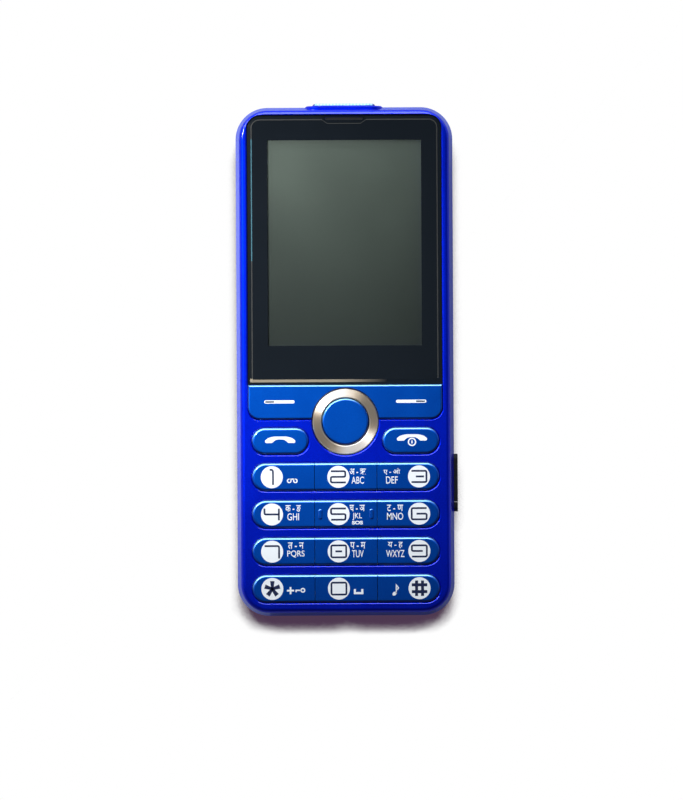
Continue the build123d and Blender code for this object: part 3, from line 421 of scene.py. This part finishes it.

# Screen: a switched-off liquid crystal panel, grey-green and cloudy, with a painted reflection
# that makes it lighter towards its top. It lies in a pressed tray under a foam gasket and
# black tape. The tray, the shield can, the antenna and the holders on the board are all of
# tinned sheet.
glare_middle, glare_along, glare_power = 0.66, 0.27, 4
cloud_swing = 0.10
screen_cloud_size = 16 * mm
screen_dark = srgb(58, 64, 61)
screen_light = srgb(150, 160, 150)
screen = Finish("dark_screen")
_, screen_y, _ = screen.axes()
screen_cloud = screen.grain(screen_cloud_size, 1.0)
# Painted reflection that makes the screen lighter towards its top, with random cloud mixed in.
glare_and_cloud = (screen_y - view_middle) * (2 * glare_along / view_length)
glare_and_cloud = glare_and_cloud + glare_middle + screen_cloud * cloud_swing - cloud_swing / 2
screen.surface(
    Base_Color=screen.mix(glare_and_cloud.maths("POWER", glare_power), screen_dark, screen_light),
    Roughness=0.50 + 0.05 * screen_cloud,
    Specular_IOR_Level=0.25,
)
dress(screen, "lcd_panel")
patch_size = 3 * mm
stain_size = 4 * mm


def worn_metal(name, dark, light, rough, scratch_size, scratch_depth):
    """Bare metal with fine marks and uneven polish."""
    finish = Finish(name)
    marks = finish.grain(scratch_size, 4.0)
    patches = finish.grain(patch_size)
    finish.surface(
        Base_Color=finish.mix(patches, dark, light),
        Metallic=1.0,
        Roughness=rough + 0.15 * patches,
        Normal=finish.bump(marks, scratch_depth),
    )
    return finish


def moulded(name, dark, light, rough, grain_size, grain_depth):
    """Plain moulded plastic, rubber or foam with a fine grain."""
    finish = Finish(name)
    grain = finish.grain(grain_size, 3.0)
    finish.surface(
        Base_Color=finish.mix(finish.grain(stain_size), dark, light),
        Roughness=rough + 0.12 * grain,
        Normal=finish.bump(grain, grain_depth),
    )
    return finish


tinplate = worn_metal(
    "tinned_sheet",
    dark=srgb(150, 152, 155),
    light=srgb(205, 206, 208),
    rough=0.28,
    scratch_size=0.25 * mm,
    scratch_depth=0.004 * mm,
)
dress(tinplate, "lcd_tray", "shield_can", "usb_socket", "antenna")
dress(tinplate, "sim_holder_1", "sim_holder_2", "memory_card_holder")
foam = moulded(
    "gasket_foam",
    dark=srgb(18, 18, 20),
    light=srgb(34, 34, 36),
    rough=0.85,
    grain_size=0.18 * mm,
    grain_depth=0.05 * mm,
)
dress(foam, "lcd_gasket")
tape = moulded(
    "black_tape",
    dark=srgb(8, 8, 9),
    light=srgb(20, 20, 22),
    rough=0.6,
    grain_size=0.5 * mm,
    grain_depth=0.004 * mm,
)
dress(tape, "lens_adhesive")

# Earpiece and loudspeaker: woven black mesh over the openings, with the receiver and the
# speaker as black moulded capsules behind them. The camera module and the headset socket
# are moulded in the same black.
thread_rise = 0.03 * mm


def woven(name, thread, colour_dark, colour_light):
    """Fine mesh of threads that cross at right angles."""
    finish = Finish(name)
    x, y, _ = finish.axes()
    warp = (x * (pi / thread)).maths("SINE").maths("ABSOLUTE")
    weft = (y * (pi / thread)).maths("SINE").maths("ABSOLUTE")
    height = warp.maths("MAXIMUM", weft)
    finish.surface(
        Base_Color=finish.mix(height, colour_dark, colour_light),
        Roughness=0.5 + 0.2 * height,
        Normal=finish.bump(height, thread_rise),
    )
    return finish


mesh_cloth = woven(
    "black_mesh",
    thread=0.16 * mm,
    colour_dark=srgb(3, 3, 4),
    colour_light=srgb(22, 22, 25),
)
dress(mesh_cloth, "earpiece_mesh", "speaker_mesh")
capsule = moulded(
    "black_capsule",
    dark=srgb(14, 14, 15),
    light=srgb(30, 30, 32),
    rough=0.42,
    grain_size=0.08 * mm,
    grain_depth=0.004 * mm,
)
dress(capsule, "earpiece_receiver", "loudspeaker", "camera_module", "headset_socket")

# Torch: a clear moulded lens on the top end, blue at its rim, with white lamp chips
# behind it. The same chips light the keys.
_, torch_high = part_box("torch_lens")
torch_rim = 0.42 * mm
torch_window = 6.9 * mm
flute_pitch = 0.8 * mm
speck_size = 0.5 * mm
torch = Finish("clear_torch_lens")
torch_x, torch_y, _ = torch.axes()
flutes = (torch_x * (2 * pi / flute_pitch)).maths("SINE") * 0.5 + 0.5
past_window = torch_x.maths("ABSOLUTE") > torch_window
at_rim = past_window.maths("MAXIMUM", torch_y < torch_high[1] - torch_rim)
torch_clear = torch.mix(flutes, srgb(130, 214, 250), srgb(206, 242, 255))
torch.surface(
    Base_Color=torch.mix(at_rim, torch_clear, srgb(8, 20, 150)),
    Roughness=0.10 + 0.05 * flutes,
    IOR=acrylic_index,
    Coat_Weight=0.5,
)
dress(torch, "torch_lens")
chip = Finish("lamp_chip")
phosphor = chip.grain(speck_size, 1.0)
chip.surface(
    Base_Color=chip.mix(phosphor, srgb(250, 235, 150), srgb(255, 250, 215)),
    Roughness=0.35 + 0.1 * phosphor,
)
dress(chip, "torch_lamps", "keypad_lamps")

# Charging port flap: soft black rubber, finely grained, with its anchor pressed into
# the housing beside it.
rubber = moulded(
    "black_rubber",
    dark=srgb(16, 16, 17),
    light=srgb(28, 28, 30),
    rough=0.62,
    grain_size=0.12 * mm,
    grain_depth=0.012 * mm,
)
dress(rubber, "port_flap", "flap_anchor")

# Keypad web and ring pad: silicone, translucent and slightly cloudy, moulded in one piece
# each. They lie between the caps and the domes, and carry the caps.
milk_size = 5 * mm
skin_size, skin_depth = 0.3 * mm, 0.004 * mm
silicone = Finish("milky_silicone")
milk = silicone.grain(milk_size)
silicone.surface(
    Base_Color=silicone.mix(milk, srgb(176, 182, 190), srgb(208, 212, 218)),
    Roughness=0.48 + 0.1 * milk,
    Transmission_Weight=0.15,
    Normal=silicone.bump(silicone.grain(skin_size), skin_depth),
)
dress(silicone, "keypad_web", "nav_pad")

# Dome sheet: clear polyester film with a pressed steel dome under each key. The film is
# stuck down on the main board.
film_height = 0.12 * mm
smear_size = 1.5 * mm
film_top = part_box("dome_sheet")[0][2] + film_height
domes = Finish("dome_film")
_, _, dome_z = domes.axes()
is_dome = dome_z > film_top
domes.surface(
    Base_Color=domes.mix(is_dome, srgb(224, 226, 214), srgb(190, 190, 192)),
    Metallic=is_dome * 0.95,
    Roughness=0.25 + 0.1 * domes.grain(smear_size),
)
dress(domes, "dome_sheet")

# Main board: glass-fibre board with green solder mask, thin copper tracks that show
# through it and bare gold pads. It is held between the housing and the cover.
track_pitch, track_rise = 1.1 * mm, 0.02 * mm
track_wander, wander_size = 6, 11 * mm
track_edge = 0.72
pad_spacing, pad_radius = 2.2 * mm, 0.14
stain_spacing = 2 * mm
board = Finish("solder_mask")
board_x, _, _ = board.axes()
track_phase = board_x * (2 * pi / track_pitch) + track_wander * board.grain(wander_size, 0.0)
tracks = track_phase.maths("SINE") > track_edge
pad_cells = {"Vector": board.place(), "Scale": 1 / pad_spacing}
pads = board.add("TexVoronoi", {"feature": "F1"}, pad_cells) < pad_radius
mask_colour = board.mix(tracks, srgb(14, 74, 40), srgb(34, 112, 62))
board.surface(
    Base_Color=board.mix(pads, mask_colour, srgb(212, 170, 90)),
    Metallic=pads * 0.9,
    Roughness=0.35 + 0.1 * board.grain(stain_spacing),
    Normal=board.bump(tracks, track_rise),
)
dress(board, "main_board")

# Battery: a flat cell in a dark printed wrap with a bare pale label, laid in the
# housing's bay, and the sprung gold contacts that press on its end.
battery_low, battery_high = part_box("battery")
battery_y = (battery_low[1] + battery_high[1]) / 2
label_width, label_length = 30.0 * mm, 40.0 * mm
crease_size, crease_depth = 6 * mm, 0.02 * mm
wrap = Finish("battery_wrap")
wrap_x, wrap_y, _ = wrap.axes()
in_width = wrap_x.maths("ABSOLUTE") < label_width / 2
on_label = in_width * ((wrap_y - battery_y).maths("ABSOLUTE") < label_length / 2)
crease = wrap.grain(crease_size, 3.0)
wrap_colour = wrap.mix(crease, srgb(30, 31, 36), srgb(44, 45, 52))
label_colour = wrap.mix(crease, srgb(186, 190, 196), srgb(206, 209, 214))
wrap.surface(
    Base_Color=wrap.mix(on_label, wrap_colour, label_colour),
    Roughness=0.42 + 0.12 * crease,
    Normal=wrap.bump(crease, crease_depth),
)
dress(wrap, "battery")
gold = worn_metal(
    "contact_gold",
    dark=srgb(196, 152, 70),
    light=srgb(226, 188, 104),
    rough=0.22,
    scratch_size=0.2 * mm,
    scratch_depth=0.003 * mm,
)
dress(gold, "battery_contacts")

# Camera window: a disc of dark glass with a fine ring printed round its middle, glued
# into its seat in the housing's back.
camera_low, camera_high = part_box("camera_window")
camera_x = (camera_low[0] + camera_high[0]) / 2
camera_y = (camera_low[1] + camera_high[1]) / 2
eye_radius = 1.7 * mm
eye_line = 0.12 * mm
bloom_size = 2 * mm
pane = Finish("camera_glass")
pane_x, pane_y, _ = pane.axes()
pane_dx = pane_x - camera_x
pane_dy = pane_y - camera_y
pane_radius = (pane_dx * pane_dx + pane_dy * pane_dy).maths("SQRT")
eye_ring = (pane_radius - eye_radius).maths("ABSOLUTE") < eye_line
pupil = pane_radius < eye_radius
pane_colour = pane.mix(pupil, srgb(10, 10, 14), srgb(3, 3, 10))
pane.surface(
    Base_Color=pane.mix(eye_ring, pane_colour, srgb(96, 98, 106)),
    Roughness=0.05 + 0.04 * pane.grain(bloom_size),
    Coat_Weight=1.0,
    Coat_Roughness=0.02,
)
dress(pane, "camera_window")

# Vibration motor: a drawn steel can with a sintered tungsten weight on its shaft. The
# microphone is a small can of the same steel.
drawn = worn_metal(
    "drawn_steel",
    dark=srgb(128, 130, 134),
    light=srgb(176, 178, 182),
    rough=0.24,
    scratch_size=0.3 * mm,
    scratch_depth=0.004 * mm,
)
dress(drawn, "vibration_motor", "microphone")
sintered = worn_metal(
    "sintered_weight",
    dark=srgb(72, 72, 76),
    light=srgb(110, 110, 114),
    rough=0.5,
    scratch_size=0.09 * mm,
    scratch_depth=0.012 * mm,
)
dress(sintered, "vibration_weight")

# Housing screws: six small black steel screws with a cross slot. They go through the
# housing into the front cover.
oxide = worn_metal(
    "black_oxide",
    dark=srgb(38, 38, 40),
    light=srgb(66, 66, 70),
    rough=0.36,
    scratch_size=0.2 * mm,
    scratch_depth=0.006 * mm,
)
dress(oxide, "housing_screws")

# Inks: white and dark blue, screen printed on the caps in two thin layers, the dark one
# on top. Each print is one flat piece that rides on its cap.
ink_rise = 0.02 * mm
digit_rise = 0.035 * mm
ink_depth = 0.03 * mm
bend_steps = 5
circle_steps = 40
sharpest_corner = 0.4
speckle_size, blot_size = 0.25 * mm, 0.3 * mm
white_ink = Finish("white_ink")
speckle = white_ink.grain(speckle_size)
white_ink.surface(
    Base_Color=white_ink.mix(speckle, srgb(238, 244, 250), srgb(250, 253, 255)),
    Roughness=0.45 + 0.1 * speckle,
)
blue_ink = Finish("blue_ink")
blot = blue_ink.grain(blot_size)
blue_ink.surface(
    Base_Color=blue_ink.mix(blot, srgb(4, 22, 62), srgb(8, 30, 78)),
    Roughness=0.45 + 0.1 * blot,
)
WHITE, BLUE = 0, 1


def rounded(corners, radius, closed=False):
    """The corners of a line, each replaced by a short curve."""
    points = []
    for i, corner in enumerate(corners):
        if not closed and i in (0, len(corners) - 1):
            points.append(corner)
            continue
        here = Vector(corner)
        back = Vector(corners[i - 1]) - here
        ahead = Vector(corners[(i + 1) % len(corners)]) - here
        reach = min(radius, back.length / 2, ahead.length / 2)
        start = here + back.normalized() * reach
        end = here + ahead.normalized() * reach
        for step in range(bend_steps + 1):
            t = step / bend_steps
            points.append(tuple(start.lerp(here, t).lerp(here.lerp(end, t), t)))
    return points


def circle(x, y, radius):
    """Points round a circle."""
    turns = [2 * pi * i / circle_steps for i in range(circle_steps)]
    return [(x + radius * cos(turn), y + radius * sin(turn)) for turn in turns]


class Print:
    """One print on a cap: flat shapes in two inks, about a point of the cap's top."""

    def __init__(self, x, y, top):
        self.shapes = bmesh.new()
        self.x, self.y, self.top = x, y, top

    def point(self, x, y, ink=WHITE):
        """Corner of a shape, on the top of its ink."""
        rise = ink_rise if ink == WHITE else digit_rise
        return self.shapes.verts.new((self.x + x, self.y + y, self.top + rise))

    def area(self, outline, ink=WHITE):
        """Filled outline, whose points run anticlockwise."""
        face = self.shapes.faces.new([self.point(x, y, ink) for x, y in outline])
        face.material_index = ink

    def stroke(self, path, width, ink=WHITE, closed=False):
        """Line of an even width along a path."""
        sides = []
        for i, (x, y) in enumerate(path):
            before = path[i - 1] if closed or i > 0 else path[i]
            after = path[(i + 1) % len(path)] if closed or i < len(path) - 1 else path[i]
            ways = [Vector((x - before[0], y - before[1])), Vector((after[0] - x, after[1] - y))]
            ways = [way.normalized() for way in ways if way.length > 0]
            way = sum(ways, Vector((0, 0))).normalized()
            reach = width / 2 / max(sharpest_corner, way.dot(ways[0]))
            left = self.point(x - way.y * reach, y + way.x * reach, ink)
            right = self.point(x + way.y * reach, y - way.x * reach, ink)
            sides.append((left, right))
        pairs = list(zip(sides, sides[1:] + (sides[:1] if closed else [])))
        for (left, right), (next_left, next_right) in pairs:
            face = self.shapes.faces.new([left, right, next_right, next_left])
            face.material_index = ink

    def letters(self, words, x, y, width, height, weight):
        """Words centred on a point and stretched to a width and a height."""
        text = bpy.data.curves.new("words", "FONT")
        text.body = words
        text.offset = weight
        holder = bpy.data.objects.new("words", text)
        bpy.context.scene.collection.objects.link(holder)
        bpy.context.view_layer.update()
        shape = bpy.data.meshes.new_from_object(holder)
        xs = [vertex.co.x for vertex in shape.vertices]
        ys = [vertex.co.y for vertex in shape.vertices]
        wide, tall = width / (max(xs) - min(xs)), height / (max(ys) - min(ys))
        middle_x, middle_y = (max(xs) + min(xs)) / 2, (max(ys) + min(ys)) / 2
        places = [(x + (a - middle_x) * wide, y + (b - middle_y) * tall) for a, b in zip(xs, ys)]
        corners = [self.point(*place) for place in places]
        for polygon in shape.polygons:
            self.shapes.faces.new([corners[i] for i in polygon.vertices])
        bpy.data.objects.remove(holder)
        bpy.data.curves.remove(text)
        bpy.data.meshes.remove(shape)

    def finish(self, name, body):
        """The print as a thin piece that rides on its cap."""
        self.shapes.normal_update()
        mesh = bpy.data.meshes.new(name)
        self.shapes.to_mesh(mesh)
        self.shapes.free()
        for ink in (white_ink, blue_ink):
            mesh.materials.append(ink.material)
        piece = bpy.data.objects.new(name, mesh)
        bpy.context.scene.collection.objects.link(piece)
        layer = piece.modifiers.new("ink", "SOLIDIFY")
        layer.thickness = ink_depth
        layer.offset = -1
        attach(piece, body)


# Keypad numbers: dark strokes on white discs, square in shape with round corners. Their
# points are in shares of the disc's radius: w and h are half the width and height of most
# numbers, and n is the right side of the narrower ones.
disc_radius = 2.62 * mm
stroke_share = 0.165
bend_share = 0.15
w, h, n = 0.68, 0.51, 0.63
stroke_shares = {
    "1": [[(-0.19, 0.67), (0.02, 0.67), (0.11, 0.55), (0.11, -0.70)]],
    "2": [[(-w, h), (n, h), (n, 0), (-w, 0), (-w, -h), (w, -h)]],
    "3": [[(-w, h), (w, h), (w, -h), (-w, -h)], [(-0.28, 0), (0.46, 0)]],
    "4": [[(-w, 0.54), (-w, 0), (n, 0)], [(n, 0.52), (n, -0.54)]],
    "5": [[(w, h), (-w, h), (-w, 0), (n, 0), (n, -h), (-w, -h)]],
    "6": [[(w, h), (-w, h), (-w, -h), (w, -h), (w, 0), (-0.24, 0)]],
    "7": [[(-w, h), (n, h), (n, -0.62)]],
    "8": [[(-0.30, 0), (0.30, 0)]],
    "9": [[(-w, -h), (w, -h), (w, h), (-w, h), (-w, 0), (0.30, 0)]],
}
frame_shares = [(-w, -h - 0.03), (w, -h - 0.03), (w, h + 0.03), (-w, h + 0.03)]
star_arms = 5
star_shares = [(0.0, -0.11), (0.71, -0.20), (0.71, 0.20), (0.0, 0.11)]
hash_reach, hash_across, hash_up, hash_width = 0.70, 0.27, 0.31, 0.27

# Each disc lies to one side of the middle of its column.
key_rows = (("1", "2", "3"), ("4", "5", "6"), ("7", "8", "9"), ("star", "0", "hash"))
disc_shifts = (-2.72 * mm, -1.75 * mm, 2.57 * mm)
cap_low, cap_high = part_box("key_2")
cap_gap = 0.13 * mm
column_pitch = cap_high[0] - cap_low[0] + cap_gap
cap_top = cap_high[2]
prints = {}
for row in key_rows:
    for i, (name, disc_shift) in enumerate(zip(row, disc_shifts)):
        low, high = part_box(f"key_{name}")
        disc_x = (i - 1) * column_pitch + disc_shift
        prints[name] = Print(disc_x, (low[1] + high[1]) / 2, cap_top)
for name, ink in prints.items():
    ink.area(circle(0, 0, disc_radius))
    for shares in stroke_shares.get(name, []):
        path = [(x * disc_radius, y * disc_radius) for x, y in rounded(shares, bend_share)]
        ink.stroke(path, stroke_share * disc_radius, BLUE)
for name in ("0", "8"):
    shares = rounded(frame_shares, bend_share, closed=True)
    path = [(x * disc_radius, y * disc_radius) for x, y in shares]
    prints[name].stroke(path, stroke_share * disc_radius, BLUE, closed=True)
for i in range(star_arms):
    turn = pi / 2 + i * 2 * pi / star_arms
    ahead = Vector((cos(turn), sin(turn))) * disc_radius
    aside = Vector((-ahead.y, ahead.x))
    prints["star"].area([tuple(ahead * out + aside * off) for out, off in star_shares], BLUE)
bar = hash_width * disc_radius
reach, aside, above = (share * disc_radius for share in (hash_reach, hash_across, hash_up))
bar_pieces = (
    (-reach, -aside - bar / 2),
    (-aside + bar / 2, aside - bar / 2),
    (aside + bar / 2, reach),
)
for sign in (-1, 1):
    prints["hash"].stroke([(sign * aside, reach), (sign * aside, -reach)], bar, BLUE)
    for start, end in bar_pieces:
        prints["hash"].stroke([(start, sign * above), (end, sign * above)], bar, BLUE)

# Letters beside the discs: a pair of Hindi letters above three or four Latin ones. Each
# line of the list gives a key's words and, in millimetres, their place and their widths.
hindi_height, latin_height = 1.52 * mm, 1.68 * mm
hindi_up, latin_up = 1.19 * mm, -0.81 * mm
hindi_weight, latin_weight = 0.01, 0.004
lower_rows_up = 0.22 * mm
words_on = {
    "2": ("अ - ऋ", "ABC", 4.62, 3.84, 2.95),
    "3": ("ए - ओ", "DEF", -6.45, 3.95, 2.78),
    "4": ("क - ङ", "GHI", 5.05, 3.66, 2.78),
    "5": ("च - ञ", "JKL", 4.44, 3.63, 2.25),
    "6": ("ट - ण", "MNO", -5.74, 3.82, 3.84),
    "7": ("त - न", "PQRS", 5.65, 3.75, 4.10),
    "8": ("प - म", "TUV", 4.55, 3.60, 2.75),
    "9": ("य - ह", "WXYZ", -5.72, 3.50, 4.35),
}
for name, (hindi, latin, across, hindi_width, latin_width) in words_on.items():
    lift = 0 if name in key_rows[0] else lower_rows_up
    words_x, hindi_y, latin_y = across * mm, hindi_up + lift, latin_up + lift
    ink = prints[name]
    ink.letters(hindi, words_x, hindi_y, hindi_width * mm, hindi_height, hindi_weight)
    ink.letters(latin, words_x, latin_y, latin_width * mm, latin_height, latin_weight)
help_width, help_height = 2.6 * mm, 0.85 * mm
help_across, help_up = 4.5 * mm, -2.06 * mm
help_weight = 0.04
prints["5"].letters("SOS", help_across, help_up, help_width, help_height, help_weight)

# Signs beside the discs: two reels with their tape, a plus and a key, a space and a note.
# They are drawn in millimetres about the disc's middle.
reel_x, reel_y, reel_apart, reel_radius, reel_line = 4.89, -0.90, 0.72, 0.42, 0.25
tape_y = reel_y + reel_radius
plus_x, plus_y, plus_reach, plus_line = 4.33, -0.42, 0.85, 0.42
key_x, key_y, key_line = 6.65, -0.35, 0.30
key_bow, key_tip, key_neck, key_bit = 0.42, 1.0, 0.2, 0.45


def metres(points):
    """Points that are given in millimetres."""
    return [(x * mm, y * mm) for x, y in points]


for sign in (-1, 1):
    reel = circle(reel_x + sign * reel_apart, reel_y, reel_radius)
    prints["1"].stroke(metres(reel), reel_line * mm, closed=True)
reel_tape = [(reel_x - reel_apart, tape_y), (reel_x + reel_apart, tape_y)]
prints["1"].stroke(metres(reel_tape), reel_line * mm)
shank = [(key_x - key_tip, key_y - key_bit), (key_x - key_tip, key_y), (key_x + key_neck, key_y)]
star_lines = [
    ([(plus_x - plus_reach, plus_y), (plus_x + plus_reach, plus_y)], plus_line),
    ([(plus_x, plus_y + plus_reach), (plus_x, plus_y + plus_line / 2)], plus_line),
    ([(plus_x, plus_y - plus_line / 2), (plus_x, plus_y - plus_reach)], plus_line),
    (shank, key_line),
]
for path, line in star_lines:
    prints["star"].stroke(metres(path), line * mm)
bow = circle(key_x + key_neck + key_bow, key_y, key_bow)
prints["star"].stroke(metres(bow), key_line * mm, closed=True)
space_x, space_y, space_line = 4.68, -0.68, 0.50
space = [(-0.88, 0.55), (-0.88, -0.42), (0.88, -0.42), (0.88, 0.55)]
space = [(space_x + x, space_y + y) for x, y in space]
prints["0"].stroke(metres(space), space_line * mm)
note_x, note_y, note_head, note_line, note_lean = -5.95, -1.25, 0.48, 0.26, 0.35
head = [(x + (y - note_y) * note_lean, y) for x, y in circle(note_x, note_y, note_head)]
stem = [(0.40, 0.05), (0.42, 2.05), (0.95, 1.35), (0.62, 0.90)]
stem = [(note_x + x, note_y + y) for x, y in stem]
prints["hash"].area(metres(head))
prints["hash"].stroke(metres(stem), note_line * mm)
for name, ink in prints.items():
    ink.finish(f"legend_{name}", f"key_{name}")

# Call and end legends: a lifted handset and a resting one with the power sign below it,
# in white ink.
call_reach = 15.56 * mm
half_handset = [(0, 0.11), (0.94, 0.03), (1.5, -0.33), (1.9, -0.75)]
half_handset += [(3.5, -0.75), (3.66, -0.22), (2.9, 0.42), (1.5, 0.77)]
handset = metres(half_handset + [(-x, y) for x, y in half_handset[:0:-1]])
handset_bend = 0.45 * mm
handset_places = {"call": (0.0, 0.35 * mm), "end": (0.27 * mm, 0.74 * mm)}
power_radius, power_line, power_drop = 0.85 * mm, 0.30 * mm, 1.05 * mm
power_mark = 0.35 * mm
for sign, (name, (shift_x, shift_y)) in zip((-1, 1), handset_places.items()):
    low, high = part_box(f"{name}_key")
    ink = Print(sign * call_reach + shift_x, (low[1] + high[1]) / 2 + shift_y, cap_top)
    ink.area(rounded(handset, handset_bend, closed=True))
    if name == "end":
        ink.stroke(circle(0, -power_drop, power_radius), power_line, closed=True)
        ink.stroke([(0, power_mark - power_drop), (0, -power_mark - power_drop)], power_line)
    ink.finish(f"legend_{name}", f"{name}_key")

# Soft-key legends: a white dash on each end of the bar, with a thin dark slot in it. Both
# inks are printed on the bar's flat top.
dash_reach = 15.7 * mm
dash_up = 0.1 * mm
dash_length, dash_height = 7.2 * mm, 0.74 * mm
slot_length, slot_height = 2.1 * mm, 0.36 * mm
slot_shifts = {"left": -2.3 * mm, "right": 2.2 * mm}
bar_low, bar_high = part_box("soft_key_bar")
bar_y = (bar_low[1] + bar_high[1]) / 2
half_length, half_height = dash_length / 2, dash_height / 2
dash_corners = [(-half_length, -half_height), (half_length, -half_height)]
dash_corners += [(half_length, half_height), (-half_length, half_height)]
for sign, (side_name, shift) in zip((-1, 1), slot_shifts.items()):
    ink = Print(sign * dash_reach, bar_y + dash_up, bar_high[2])
    ink.area(rounded(dash_corners, half_height, closed=True))
    ink.stroke([(shift - slot_length / 2, 0), (shift + slot_length / 2, 0)], slot_height, BLUE)
    ink.finish(f"legend_soft_{side_name}", "soft_key_bar")
